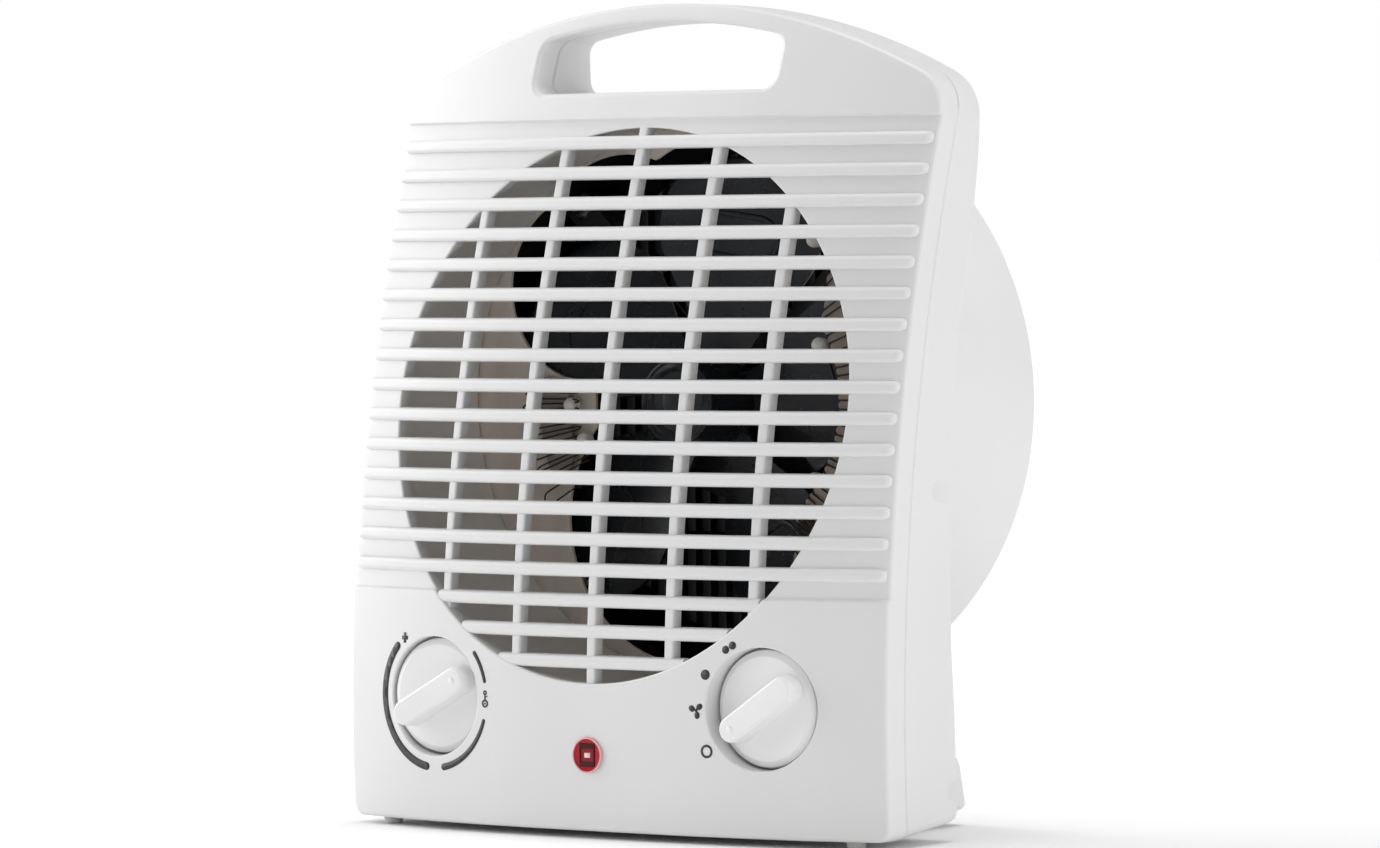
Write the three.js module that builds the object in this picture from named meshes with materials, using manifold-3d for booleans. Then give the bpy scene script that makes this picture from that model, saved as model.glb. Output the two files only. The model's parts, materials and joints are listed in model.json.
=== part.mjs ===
// Upright portable fan heater. A white two-part casing with a handle opening at the top carries
// a round barred outlet in front and a short drum behind. Inside stand a sheet-metal duct, a
// baffle with two banks of bare resistance wire, and a fan on a small motor in a black shroud.
//
// Units are millimetres. X runs across the heater, +Y backwards, +Z up. Shapes are drawn in the
// casing's own frame: y = 0 is the foremost point of the front face and z = 0 the bottom edge of
// the casing. The group at the end moves them so that the origin is under the middle of the feet.

import * as THREE from 'three';
import { mergeVertices } from 'three/addons/utils/BufferGeometryUtils.js';
import Module from 'manifold-3d';

const wasm = await Module();
wasm.setup();

// ---------------------------------------------------------------- driving dimensions

const HALF_WIDTH = 103.5;
const CASE_TOP = 257.8;
const REAR_Y = 108;
const FOOT_HEIGHT = 2.2;
const GAP = 0.3;

// Front outline: straight sides, rounded shoulders and a flat arch.
const ARCH_RADIUS = 210;
const ARCH_CENTRE_Z = CASE_TOP - ARCH_RADIUS;
const SHOULDER_RADIUS = 16;
const BOTTOM_RADIUS = 4;

// The front face is bowed. Upright it falls back from z = BOW_Z in an arc; across it is flatter
// in the middle and falls back by BOW_EDGE at the sides.
const BOW_Z = 33;
const BOW_RADIUS_UPRIGHT = 555.6;
const BOW_EDGE = 12.4;
const BOW_POWER = 2.7;

// Casing walls and the seam between its two halves, measured back from the front face.
const WALL = 2.4;
const FACE_WALL = 3.2;
const RIM_DEPTH = 9.8;

// Handle opening.
const HANDLE_HALF_WIDTH = 46.8;
const HANDLE_BOTTOM = 230;
const HANDLE_CORNER = 5;
const HANDLE_BAR = 5.8;

// Round air outlet with its bars, in a shallow recessed band of the face.
const AXIS_Z = 132.3;
const OUTLET_RADIUS = 86.3;
const OUTLET_LIP = 2;
const OUTLET_LIP_DEPTH = 5.7;
const BAND_BOTTOM = 73.5;
const BAND_TOP = 221.4;
const BAND_RECESS = 1.2;
const BAR_COUNT = 18;
const FULL_BAR_COUNT = 15;
const BAR_PITCH = 9.5;
const BAR_TOP_Z = 214.1;
const BAR_HEIGHT = 4.4;
const BAR_HALF_LENGTH = 101.8;
const BAR_FRONT = -0.4;
const SHORT_BAR_FRONT = 0.2;
const BAR_BACK = 2.6;
const POST_COUNT = 5;
const POST_PITCH = 29.47;
const POST_WIDTH = 3.4;
const POST_FRONT = 1.3;
const POST_BACK = 5.6;

// Control knobs in round wells, with the pilot lamp between them.
const KNOB_X = 63;
const KNOB_Z = 39.9;
const WELL_RADIUS = 18.9;
const WELL_FLOOR_Y = 11;
const KNOB_RADIUS = 18.1;
const KNOB_RIM_Y = 7.6;
const KNOB_FACE_Y = 6.3;
const KNOB_FACE_RADIUS = 16.2;
const GRIP_TOP_Y = -0.1;
const GRIP_HALF_LENGTH = 15.3;
const GRIP_HALF_WIDTH = 4;
const GRIP_DOT = { distance: 11, radius: 1.15, front: -0.5 };
const SHAFT_RADIUS = 2.7;
const SHAFT_HOLE_RADIUS = 4.4;
const THERMOSTAT_POINTER = 61;
const SELECTOR_POINTER = 236;
const LAMP_Z = 23.8;
const LAMP_RADIUS = 5.6;
const LAMP_HOLE_RADIUS = 5;
const LAMP_FRONT_Y = -1;

// Rear cover: drum with a lip that holds the grille, and the hollow plinth that steadies the heater.
const DRUM_RADIUS = 97;
const DRUM_LIP = { radius: 91.5, front: 105.6 };
const PLINTH = { halfWidth: 75, back: 103, bottom: 2, top: 21.6, corner: 6 };
const REAR_FOOT = { x: 52, y: 92 };
const FRONT_FOOT = { x: 89.5, y: 16.2 };
const GLAND = { x: 45, z: 12, radius: 4.9 };

// Underneath, the rear cover rises a little towards the back.
const UNDERSIDE = { start: 40, rise: 3.8 };

// Intake grille: a flat rim and deep upright slats tied together by level ones.
const GRILLE = { front: 102, rimBack: 105.3, back: 107.4, rimInner: 80, pitch: 6, slatWidth: 2.8 };
const GRILLE_SLATS = 27;
const GRILLE_TIES = [-45, -15, 15, 45];

// Duct, baffle and heating element.
const DUCT_RADIUS = 87;
const DUCT_WALL = 1;
const BAFFLE_Y = 60.3;
const BAFFLE_THICKNESS = 1.2;
const THROAT_RADIUS = 40.3;
const BAFFLE_OPENINGS = [[-44, 36, 30], [-28, 42, 36.5], [8, 40, 43.5], [-6, -38.5, 45.2], [10, 1, 45.5]];
const MICA_Y = 57.5;
const MICA_THICKNESS = 0.8;
const WIRE_Y = 55.6;
const WIRE_THICKNESS = 1;
const WIRE_INNER_RADIUS = 45;
const WIRE_OUTER_RADIUS = 65;
const TERMINAL_RADIUS = 83;
const INSULATORS = [[48.8, 17.9], [46.5, -24.4], [47.2, 50.7], [-48.1, -1.6], [-43, -12.8]];

// Fan and motor.
const FAN_RADIUS = 78;
const FAN_BLADES = 5;
const FAN_Y = 71.5;
const BLADE_START = 64;
const BLADE_PITCH = 17;
const BLADE_HALF_CHORD = 27;
const BLADE_THICKNESS = 1.6;
const HUB_RADIUS = 14;
const HUB_FRONT_Y = 48;
const HUB_BACK_Y = 79.6;
const MOTOR_SHAFT_RADIUS = 2.5;
const BRACKET_Y = 81.6;
const BRACKET_THICKNESS = 1.5;
const MOTOR_RADIUS = 30;
const MOTOR_BACK_Y = 100.5;
const MOTOR_CORE = { front: 86, back: 96 };
const MOTOR_LEAD_X = 8;
const SHROUD = { front: 61.8, back: 101.7, wall: 1.6 };
const LUG_RADIUS = 86;
const LUG_ANGLES = [45, 135, 225, 315];

// Screws. The casing screws sit in deep access holes that open at the back.
const SCREW = { shank: 1.55, head: 3, headHeight: 2.2, clearance: 2, pilot: 1.9 };
const CASING_SCREWS = [
  { name: 'bottom', x: 99, z: 12.8, accessY: 45, access: 5.2 },
  { name: 'middle', x: 99, z: 105.9, accessY: 38, access: 5.2 },
  { name: 'top', x: 75, z: 236, accessY: 63.4, access: 4.4 },
];
const CASING_BOSS = 6.4;

// ---------------------------------------------------------------- finishes

const finish = (color, roughness, metalness = 0) =>
  new THREE.MeshStandardMaterial({ color, roughness, metalness });

const WHITE_PLASTIC = finish(0xf0f0ef, 0.4);
const BLACK_PLASTIC = finish(0x1d1f22, 0.5);
const FAN_PLASTIC = finish(0x20262e, 0.25);
const GREY_STEEL = finish(0xa8a49c, 0.45, 0.9);
const BARE_STEEL = finish(0xb8bac0, 0.3, 1);
const LAMINATED_STEEL = finish(0x6c6e72, 0.5, 0.9);
const COPPER = finish(0xa8623a, 0.4, 0.9);
const MICA = finish(0xa8998a, 0.6);
const RESISTANCE_WIRE = finish(0x4a4640, 0.35, 1);
const CERAMIC = finish(0xf4f2ec, 0.3);
const BRASS = finish(0xb89a5a, 0.35, 1);
const RED_LENS = finish(0xb5202a, 0.1);
const CLEAR_GLASS = finish(0xe8e2d8, 0.05);
const RUBBER = finish(0x3a3a3c, 0.9);
const PALE_RUBBER = finish(0xd0d0cc, 0.7);

// ---------------------------------------------------------------- building helpers

const radians = THREE.MathUtils.degToRad;
const faceDepth = (x, z) =>
  (z - BOW_Z) ** 2 / (2 * BOW_RADIUS_UPRIGHT) + BOW_EDGE * (Math.abs(x) / HALF_WIDTH) ** BOW_POWER;

// Turns a closed three.js geometry into a solid that can be joined and cut.
function solid(geometry) {
  const bare = geometry.clone();
  bare.deleteAttribute('normal');
  bare.deleteAttribute('uv');
  const merged = mergeVertices(bare, 1e-4);
  const corners = merged.index.array;
  const triangles = [];
  for (let i = 0; i < corners.length; i += 3) {
    const [a, b, c] = corners.slice(i, i + 3);
    if (a !== b && b !== c && c !== a) triangles.push(a, b, c);
  }
  return new wasm.Manifold(new wasm.Mesh({
    numProp: 3,
    vertProperties: new Float32Array(merged.attributes.position.array),
    triVerts: new Uint32Array(triangles),
  }));
}

const join = (first, ...others) => others.reduce((sum, each) => sum.add(each), first);
const cut = (first, ...tools) => tools.reduce((rest, each) => rest.subtract(each), first);
const mirrored = (make) => [make(-1), make(1)];

function geometryOf(body) {
  const mesh = body.getMesh();
  const geometry = new THREE.BufferGeometry();
  geometry.setAttribute('position', new THREE.BufferAttribute(mesh.vertProperties, 3));
  geometry.setIndex(new THREE.BufferAttribute(mesh.triVerts, 1));
  geometry.computeVertexNormals();
  return geometry;
}

// An (x, z) outline carried backwards from y0 to y1.
function plate(shape, y0, y1, curveSegments = 3) {
  const options = { depth: y1 - y0, bevelEnabled: false, curveSegments };
  return solid(new THREE.ExtrudeGeometry(shape, options).rotateX(Math.PI / 2).translate(0, y1, 0));
}

// A (y, z) outline carried across from x0 to x1.
function sideways(shape, x0, x1, curveSegments = 2) {
  const options = { depth: x1 - x0, bevelEnabled: false, curveSegments };
  const axes = new THREE.Matrix4().makeBasis(
    new THREE.Vector3(0, 1, 0), new THREE.Vector3(0, 0, 1), new THREE.Vector3(1, 0, 0));
  return solid(new THREE.ExtrudeGeometry(shape, options).applyMatrix4(axes).translate(x0, 0, 0));
}

// An (x, y) outline carried up from z0 to z1.
function upright(shape, z0, z1, curveSegments = 3) {
  const options = { depth: z1 - z0, bevelEnabled: false, curveSegments };
  return solid(new THREE.ExtrudeGeometry(shape, options).translate(0, 0, z0));
}

function block(x0, x1, y0, y1, z0, z1) {
  const box = new THREE.BoxGeometry(x1 - x0, y1 - y0, z1 - z0);
  return solid(box.translate((x0 + x1) / 2, (y0 + y1) / 2, (z0 + z1) / 2));
}

// A round bar along Y.
function disc(x, z, radius, y0, y1, segments = 20) {
  const cylinder = new THREE.CylinderGeometry(radius, radius, y1 - y0, segments);
  return solid(cylinder.translate(x, (y0 + y1) / 2, z));
}

const ring = (x, z, outer, inner, y0, y1, segments = 20) =>
  disc(x, z, outer, y0, y1, segments).subtract(disc(x, z, inner, y0 - 1, y1 + 1, segments));

// A round body along Y from a list of [radius, y] that starts and ends on the axis.
function turned(x, z, profile, segments = 20) {
  const points = profile.map(([radius, y]) => new THREE.Vector2(radius, y));
  return solid(new THREE.LatheGeometry(points, segments).translate(x, 0, z));
}

// A sheet that follows the bow of the face, between y0 and y1 behind it.
function bowed(y0, y1, x0 = -120, x1 = 120, z0 = -12, z1 = 270, columns = 8, rows = 7) {
  const box = new THREE.BoxGeometry(x1 - x0, y1 - y0, z1 - z0, columns, 1, rows);
  box.translate((x0 + x1) / 2, (y0 + y1) / 2, (z0 + z1) / 2);
  const position = box.attributes.position;
  for (let i = 0; i < position.count; i += 1) {
    const x = position.getX(i);
    const z = position.getZ(i);
    position.setY(i, position.getY(i) + faceDepth(x, z));
  }
  return solid(box);
}

// Square section carried along a smooth path: leads and resistance wire.
function strand(points, thickness, steps, sides = 4) {
  const section = new THREE.Shape();
  for (let i = 0; i < sides; i += 1) {
    const angle = ((i + 0.5) * 2 * Math.PI) / sides;
    const x = (thickness / 2) * Math.cos(angle);
    const y = (thickness / 2) * Math.sin(angle);
    if (i === 0) section.moveTo(x, y);
    else section.lineTo(x, y);
  }
  const spots = points.map(([x, y, z]) => new THREE.Vector3(x, y, z));
  const path = new THREE.CatmullRomCurve3(spots, false, 'centripetal');
  return solid(new THREE.ExtrudeGeometry(section, { steps, extrudePath: path }));
}

function roundedRectangle(x0, x1, y0, y1, radius) {
  const shape = new THREE.Shape();
  shape.absarc(x1 - radius, y0 + radius, radius, -Math.PI / 2, 0);
  shape.absarc(x1 - radius, y1 - radius, radius, 0, Math.PI / 2);
  shape.absarc(x0 + radius, y1 - radius, radius, Math.PI / 2, Math.PI);
  shape.absarc(x0 + radius, y0 + radius, radius, Math.PI, 1.5 * Math.PI);
  return shape;
}

// Straight sides, rounded lower corners, rounded shoulders and an arch about the arch centre.
function archedOutline(halfWidth, bottom, bottomRadius, shoulderRadius, archRadius) {
  const shoulderX = halfWidth - shoulderRadius;
  const angle = Math.acos(shoulderX / (archRadius - shoulderRadius));
  const shoulderZ = ARCH_CENTRE_Z + (archRadius - shoulderRadius) * Math.sin(angle);
  const lowerX = halfWidth - bottomRadius;
  const lowerZ = bottom + bottomRadius;
  const shape = new THREE.Shape();
  shape.absarc(lowerX, lowerZ, bottomRadius, -Math.PI / 2, 0);
  shape.absarc(shoulderX, shoulderZ, shoulderRadius, 0, angle);
  shape.absarc(0, ARCH_CENTRE_Z, archRadius, angle, Math.PI - angle);
  shape.absarc(-shoulderX, shoulderZ, shoulderRadius, Math.PI - angle, Math.PI);
  shape.absarc(-lowerX, lowerZ, bottomRadius, Math.PI, 1.5 * Math.PI);
  return shape;
}

const caseOutline = (inset) => archedOutline(HALF_WIDTH - inset, inset,
  BOTTOM_RADIUS - inset, SHOULDER_RADIUS - inset, ARCH_RADIUS - inset);
const handleOutline = (growth) => archedOutline(HANDLE_HALF_WIDTH + growth, HANDLE_BOTTOM - growth,
  HANDLE_CORNER + growth, HANDLE_CORNER + growth, ARCH_RADIUS - HANDLE_BAR + growth);

// The back of the casing in side view: upright below, leaning back with the face above.
function rearProfile(inset) {
  const back = [[53.4, UNDERSIDE.rise + inset], [53, 28], [50.8, 66], [51.2, 110], [54, 142], [60.6, 172],
    [66.8, 200], [69.2, 222], [67.5, 270]].map(([y, z]) => new THREE.Vector2(y - inset, z));
  const shape = new THREE.Shape();
  shape.moveTo(-15, -12);
  shape.lineTo(UNDERSIDE.start, -12);
  shape.lineTo(UNDERSIDE.start, inset);
  shape.lineTo(back[0].x, back[0].y);
  shape.splineThru(back.slice(1));
  shape.lineTo(-15, 270);
  return shape;
}

// ---------------------------------------------------------------- casing

const seatOfCasingScrew = ({ x, z }) => faceDepth(x, z) + RIM_DEPTH + 9;

function outletBars() {
  const bars = [];
  for (let i = 0; i < BAR_COUNT; i += 1) {
    const z = BAR_TOP_Z - i * BAR_PITCH;
    const chord = Math.sqrt((OUTLET_RADIUS + 1) ** 2 - (z - AXIS_Z) ** 2);
    const full = i < FULL_BAR_COUNT;
    const half = full ? BAR_HALF_LENGTH : chord + 1;
    const front = full ? BAR_FRONT : SHORT_BAR_FRONT;
    const bar = bowed(front, BAR_BACK, -120, 120, z - BAR_HEIGHT / 2, z + BAR_HEIGHT / 2, 8, 1);
    bars.push(bar.intersect(block(-half, half, -5, 90, z - BAR_HEIGHT, z + BAR_HEIGHT)));
  }
  for (let i = 0; i < POST_COUNT; i += 1) {
    const x = (i - (POST_COUNT - 1) / 2) * POST_PITCH;
    const half = Math.sqrt((OUTLET_RADIUS + 1) ** 2 - x ** 2);
    bars.push(bowed(POST_FRONT, POST_BACK, x - POST_WIDTH / 2, x + POST_WIDTH / 2,
      AXIS_Z - half, AXIS_Z + half, 1, 4));
  }
  return bars;
}

function knobWell(side) {
  const cup = disc(side * KNOB_X, KNOB_Z, WELL_RADIUS + 2, -5, WELL_FLOOR_Y + 2, 28);
  return cup.intersect(bowed(0.2, 60));
}

function frontCover() {
  const shell = plate(caseOutline(0), -10, 75).intersect(bowed(0, RIM_DEPTH));
  const hollow = plate(caseOutline(WALL), -10, 75).intersect(bowed(FACE_WALL, RIM_DEPTH + 5));
  const band = bowed(-6, BAND_RECESS, -120, 120, BAND_BOTTOM, BAND_TOP);
  const lip = disc(0, AXIS_Z, OUTLET_RADIUS + OUTLET_LIP, -5, 60, 44);
  const handleWall = plate(handleOutline(WALL), -10, 75).intersect(bowed(1, RIM_DEPTH));
  const bosses = [];
  const pilots = [];
  for (const screw of CASING_SCREWS) {
    for (const side of [-1, 1]) {
      const face = faceDepth(screw.x, screw.z);
      const x = side * screw.x;
      bosses.push(disc(x, screw.z, 4.2, face - 2, face + RIM_DEPTH + 4, 8)
        .intersect(bowed(FACE_WALL - 1, RIM_DEPTH)));
      pilots.push(disc(x, screw.z, SCREW.pilot, face + 4.5, face + 20, 6));
    }
  }
  const closed = join(
    cut(shell, hollow, band),
    lip.intersect(bowed(BAND_RECESS + 0.2, OUTLET_LIP_DEPTH)),
    handleWall, ...mirrored(knobWell), ...bosses);
  const opened = cut(closed,
    disc(0, AXIS_Z, OUTLET_RADIUS, -10, 80, 44),
    plate(handleOutline(0), -10, 80),
    disc(0, LAMP_Z, LAMP_HOLE_RADIUS, -10, 20, 20),
    ...mirrored((side) => disc(side * KNOB_X, KNOB_Z, WELL_RADIUS, -10, WELL_FLOOR_Y, 28)),
    ...mirrored((side) => disc(side * KNOB_X, KNOB_Z, SHAFT_HOLE_RADIUS, 5, 20, 12)),
    ...mirrored((side) => footHole(side, FRONT_FOOT)),
    ...pilots);
  return join(opened, ...outletBars());
}

function footHole(side, foot) {
  const hole = new THREE.CylinderGeometry(1.6, 1.6, 12, 10).rotateX(Math.PI / 2);
  return solid(hole.translate(side * foot.x, foot.y, 0));
}

function lugs(radius, y0, y1, segments = 12) {
  return LUG_ANGLES.map((angle) => disc(LUG_RADIUS * Math.cos(radians(angle)),
    AXIS_Z + LUG_RADIUS * Math.sin(radians(angle)), radius, y0, y1, segments));
}

function rearCover() {
  const seam = bowed(-60, RIM_DEPTH + GAP);
  const envelope = (inset) => plate(caseOutline(inset), -10, 110)
    .intersect(sideways(rearProfile(inset), -120, 120));
  const { halfWidth, back, bottom, top, corner } = PLINTH;
  const plinth = upright(roundedRectangle(-halfWidth, halfWidth, 40, back, corner), bottom, top);
  const legs = mirrored((side) => upright(roundedRectangle(side * REAR_FOOT.x - 6,
    side * REAR_FOOT.x + 6, REAR_FOOT.y - 6, REAR_FOOT.y + 6, 3), 0, bottom + 1));
  const drum = disc(0, AXIS_Z, DRUM_RADIUS, 35, REAR_Y, 44);
  const outside = cut(join(envelope(0), drum, plinth, ...legs), seam);

  const bosses = [];
  const holes = [];
  for (const screw of CASING_SCREWS) {
    const seat = seatOfCasingScrew(screw);
    for (const side of [-1, 1]) {
      const x = side * screw.x;
      bosses.push(disc(x, screw.z, CASING_BOSS, 0, 110, 10));
      holes.push(disc(x, screw.z, SCREW.clearance, 0, seat + 1, 6));
      holes.push(disc(x, screw.z, SCREW.head + 0.4, seat, screw.accessY + 1, 8));
      holes.push(disc(x, screw.z, screw.access, screw.accessY, 110, 12));
    }
  }
  const keep = join(plate(handleOutline(WALL), -10, 110), ...bosses);
  const inside = join(
    cut(envelope(WALL), keep),
    disc(0, AXIS_Z, DRUM_RADIUS - WALL, -10, DRUM_LIP.front, 44),
    disc(0, AXIS_Z, DRUM_LIP.radius, DRUM_LIP.front - 1, REAR_Y + 5, 44),
    upright(roundedRectangle(-halfWidth + WALL, halfWidth - WALL, 35, back - WALL, corner - WALL),
      bottom + WALL, top - WALL));
  return cut(outside, inside,
    plate(handleOutline(0), -10, 110),
    disc(GLAND.x, GLAND.z, GLAND.radius + GAP, 90, 110, 16),
    ...mirrored((side) => footHole(side, REAR_FOOT)),
    ...holes);
}

// Round intake grille, held between the shroud and the lip of the drum.
function rearGrille() {
  const { front, rimBack, back, rimInner, pitch, slatWidth } = GRILLE;
  const rim = ring(0, AXIS_Z, DRUM_RADIUS - WALL - GAP, rimInner, front, rimBack, 36);
  const chord = (offset) => Math.sqrt((rimInner + 2) ** 2 - offset ** 2);
  const slats = [];
  for (let i = 0; i < GRILLE_SLATS; i += 1) {
    const x = (i - (GRILLE_SLATS - 1) / 2) * pitch;
    const half = chord(x);
    slats.push(block(x - slatWidth / 2, x + slatWidth / 2, front, back, AXIS_Z - half, AXIS_Z + half));
  }
  const ties = GRILLE_TIES.map((z) =>
    block(-chord(z), chord(z), front + 1, rimBack, AXIS_Z + z - 1.2, AXIS_Z + z + 1.2));
  return cut(join(rim, ...slats, ...ties), ...lugs(SCREW.clearance, 95, 110, 6));
}

function foot(side, place) {
  const pad = new THREE.CylinderGeometry(3.2, 2.8, FOOT_HEIGHT - GAP, 16).rotateX(Math.PI / 2);
  const peg = new THREE.CylinderGeometry(1.3, 1.3, 4, 10).rotateX(Math.PI / 2);
  pad.translate(0, 0, -(FOOT_HEIGHT + GAP) / 2);
  peg.translate(0, 0, 1);
  return join(solid(pad), solid(peg)).translate([side * place.x, place.y, 0]);
}

// Pan-head screw whose head seats at y and whose shank points towards -Y (sense -1) or +Y (1).
function screw(x, z, y, length, sense) {
  const { head, headHeight, shank } = SCREW;
  const outline = [[0, -headHeight], [head * 0.7, -headHeight], [head, -headHeight * 0.4], [head, 0],
    [shank, 0], [shank, length - 1], [0, length]];
  const body = turned(0, 0, outline, 8);
  return (sense > 0 ? body : body.rotate([180, 0, 0])).translate([x, y, z]);
}

// ---------------------------------------------------------------- duct and heating element

// Sheet-metal tube from the outlet lip back to the baffle. Its front edge follows the bow.
function duct() {
  return ring(0, AXIS_Z, DUCT_RADIUS + DUCT_WALL, DUCT_RADIUS, 2, BAFFLE_Y - GAP, 44)
    .subtract(bowed(-40, OUTLET_LIP_DEPTH + GAP));
}

// Baffle plate with a central throat and large air openings. A narrow arm stands at the left
// and a broad one at the right; the notch below lets the motor lead through.
function baffle() {
  const hole = (x, z, radius, segments) =>
    disc(x, AXIS_Z + z, radius, BAFFLE_Y - 2, BAFFLE_Y + BAFFLE_THICKNESS + 2, segments);
  return cut(disc(0, AXIS_Z, DUCT_RADIUS + 5, BAFFLE_Y, BAFFLE_Y + BAFFLE_THICKNESS, 40),
    hole(0, 0, THROAT_RADIUS, 32), ...BAFFLE_OPENINGS.map(([x, z, radius]) => hole(x, z, radius, 32)),
    hole(MOTOR_LEAD_X, -DUCT_RADIUS - 3.5, 3.2, 12));
}

// Ring sector between two radii and two angles, both counted from +X towards +Z.
function sector(inner, outer, from, to) {
  const shape = new THREE.Shape();
  shape.absarc(0, AXIS_Z, outer, radians(from), radians(to), false);
  shape.absarc(0, AXIS_Z, inner, radians(to), radians(from), true);
  return shape;
}

function mica(inner, outer, from, to) {
  const sheet = plate(sector(inner, outer, from, to), MICA_Y, MICA_Y + MICA_THICKNESS, 10);
  return cut(sheet, ...INSULATORS.map(([x, z]) => disc(x, AXIS_Z + z, 2.7, MICA_Y - 1, MICA_Y + 2, 10)));
}

// Resistance wire running to and fro between two radii in one flat layer.
function heatingWire(from, to, legs) {
  const half = WIRE_THICKNESS / 2;
  const step = (to - from) / (legs - 1);
  const piece = (r0, r1, halfWidth, angle) =>
    block(r0, r1, -half, half, -halfWidth, halfWidth).rotate([0, -angle, 0]);
  const pieces = [];
  for (let i = 0; i < legs; i += 1) {
    pieces.push(piece(WIRE_INNER_RADIUS, WIRE_OUTER_RADIUS, half, from + i * step));
  }
  for (let i = 0; i + 1 < legs; i += 1) {
    const radius = i % 2 ? WIRE_INNER_RADIUS : WIRE_OUTER_RADIUS;
    const middle = radius * Math.cos(radians(step / 2));
    const chord = radius * Math.sin(radians(step / 2));
    pieces.push(piece(middle - half, middle + half, chord, from + (i + 0.5) * step));
  }
  return join(...pieces).translate([0, WIRE_Y, AXIS_Z]);
}

const insulator = ([x, z]) => ring(x, AXIS_Z + z, 2.3, 0.8, WIRE_Y + 0.8, BAFFLE_Y - GAP, 10);

// Brass tab on the back of the baffle that takes the lead of a heating bank.
const terminal = (angle) => block(TERMINAL_RADIUS - 3.5, TERMINAL_RADIUS + 3.5, 0, 0.8, -2, 2)
  .rotate([0, -angle, 0]).translate([0, BAFFLE_Y + BAFFLE_THICKNESS + GAP, AXIS_Z]);

// Bimetal cut-out on the back of the baffle, outside the sweep of the fan.
const thermalCutout = () => join(disc(-85.6, AXIS_Z, 5.2, BAFFLE_Y + BAFFLE_THICKNESS + GAP, 68, 16),
  block(-86.6, -84.6, 67, 71, AXIS_Z - 4, AXIS_Z + 4));

// ---------------------------------------------------------------- fan and motor

function fan() {
  const outline = new THREE.Shape();
  outline.absellipse((FAN_RADIUS + HUB_RADIUS) / 2, 0, (FAN_RADIUS - HUB_RADIUS) / 2,
    BLADE_HALF_CHORD, 0, 2 * Math.PI);
  const half = BLADE_THICKNESS / 2;
  const petal = join(plate(outline, -half, half, 8), block(9, 32, -half, half, -7, 7))
    .rotate([BLADE_PITCH, 0, 0]);
  const blades = [];
  for (let i = 0; i < FAN_BLADES; i += 1) {
    blades.push(petal.rotate([0, (i * 360) / FAN_BLADES + BLADE_START, 0]).translate([0, FAN_Y, AXIS_Z]));
  }
  const hub = turned(0, AXIS_Z, [[0, HUB_FRONT_Y], [HUB_RADIUS - 3, HUB_FRONT_Y],
    [HUB_RADIUS, HUB_FRONT_Y + 3], [HUB_RADIUS, HUB_BACK_Y], [0, HUB_BACK_Y]], 20);
  return cut(join(hub, ...blades),
    disc(0, AXIS_Z, MOTOR_SHAFT_RADIUS + GAP, HUB_FRONT_Y + 4, HUB_BACK_Y + 1, 14));
}

// Black ring that lines the drum. The motor bracket is screwed to its lugs from the front and
// the grille from the back.
function fanShroud() {
  const outer = DRUM_RADIUS - WALL - GAP;
  const lining = ring(0, AXIS_Z, outer, outer - SHROUD.wall, SHROUD.front, SHROUD.back, 44);
  const lugBlocks = join(...lugs(6.6, BRACKET_Y + BRACKET_THICKNESS + GAP, SHROUD.back, 10))
    .intersect(disc(0, AXIS_Z, outer - 0.5, SHROUD.front, SHROUD.back, 44));
  return cut(join(lining, lugBlocks), ...lugs(SCREW.pilot, 70, 110, 6));
}

// Four-armed sheet bracket that closes the front of the motor and holds it to the shroud.
function motorBracket() {
  const y1 = BRACKET_Y + BRACKET_THICKNESS;
  const arm = block(-(LUG_RADIUS + 4), LUG_RADIUS + 4, BRACKET_Y, y1, -5, 5);
  const arms = [45, 135].map((angle) => arm.rotate([0, -angle, 0]).translate([0, 0, AXIS_Z]));
  return cut(join(disc(0, AXIS_Z, MOTOR_RADIUS + 2, BRACKET_Y, y1, 24), ...arms),
    disc(0, AXIS_Z, 5.5, BRACKET_Y - 1, y1 + 1, 16), ...lugs(SCREW.clearance, BRACKET_Y - 1, y1 + 1, 6));
}

function motorHousing() {
  const front = BRACKET_Y + BRACKET_THICKNESS + GAP;
  return cut(disc(0, AXIS_Z, MOTOR_RADIUS, front, MOTOR_BACK_Y, 24),
    disc(0, AXIS_Z, MOTOR_RADIUS - 1.5, front - 1, MOTOR_BACK_Y - 1.5, 24),
    disc(0, AXIS_Z, 5.5, 90, MOTOR_BACK_Y + 1, 16));
}

const motorStator = () =>
  ring(0, AXIS_Z, MOTOR_RADIUS - 2.2, 16, MOTOR_CORE.front, MOTOR_CORE.back, 24);
const motorRotor = () =>
  ring(0, AXIS_Z, 15.4, MOTOR_SHAFT_RADIUS + GAP, MOTOR_CORE.front, MOTOR_CORE.back, 24);
const motorShaft = () => disc(0, AXIS_Z, MOTOR_SHAFT_RADIUS, HUB_FRONT_Y + 4.3, 101.5, 12);
const motorCoil = () => ring(0, AXIS_Z, 26, 18, MOTOR_CORE.front - 2.2, MOTOR_CORE.front - GAP, 24);
const bearing = (y0, y1) => ring(0, AXIS_Z, 5.2, MOTOR_SHAFT_RADIUS + GAP, y0, y1, 14);

// ---------------------------------------------------------------- controls and wiring

// Turning angle that brings a grip lying along +X to a pointer angle, clockwise from the top.
const gripTurn = (pointer) => pointer - 90;

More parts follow.
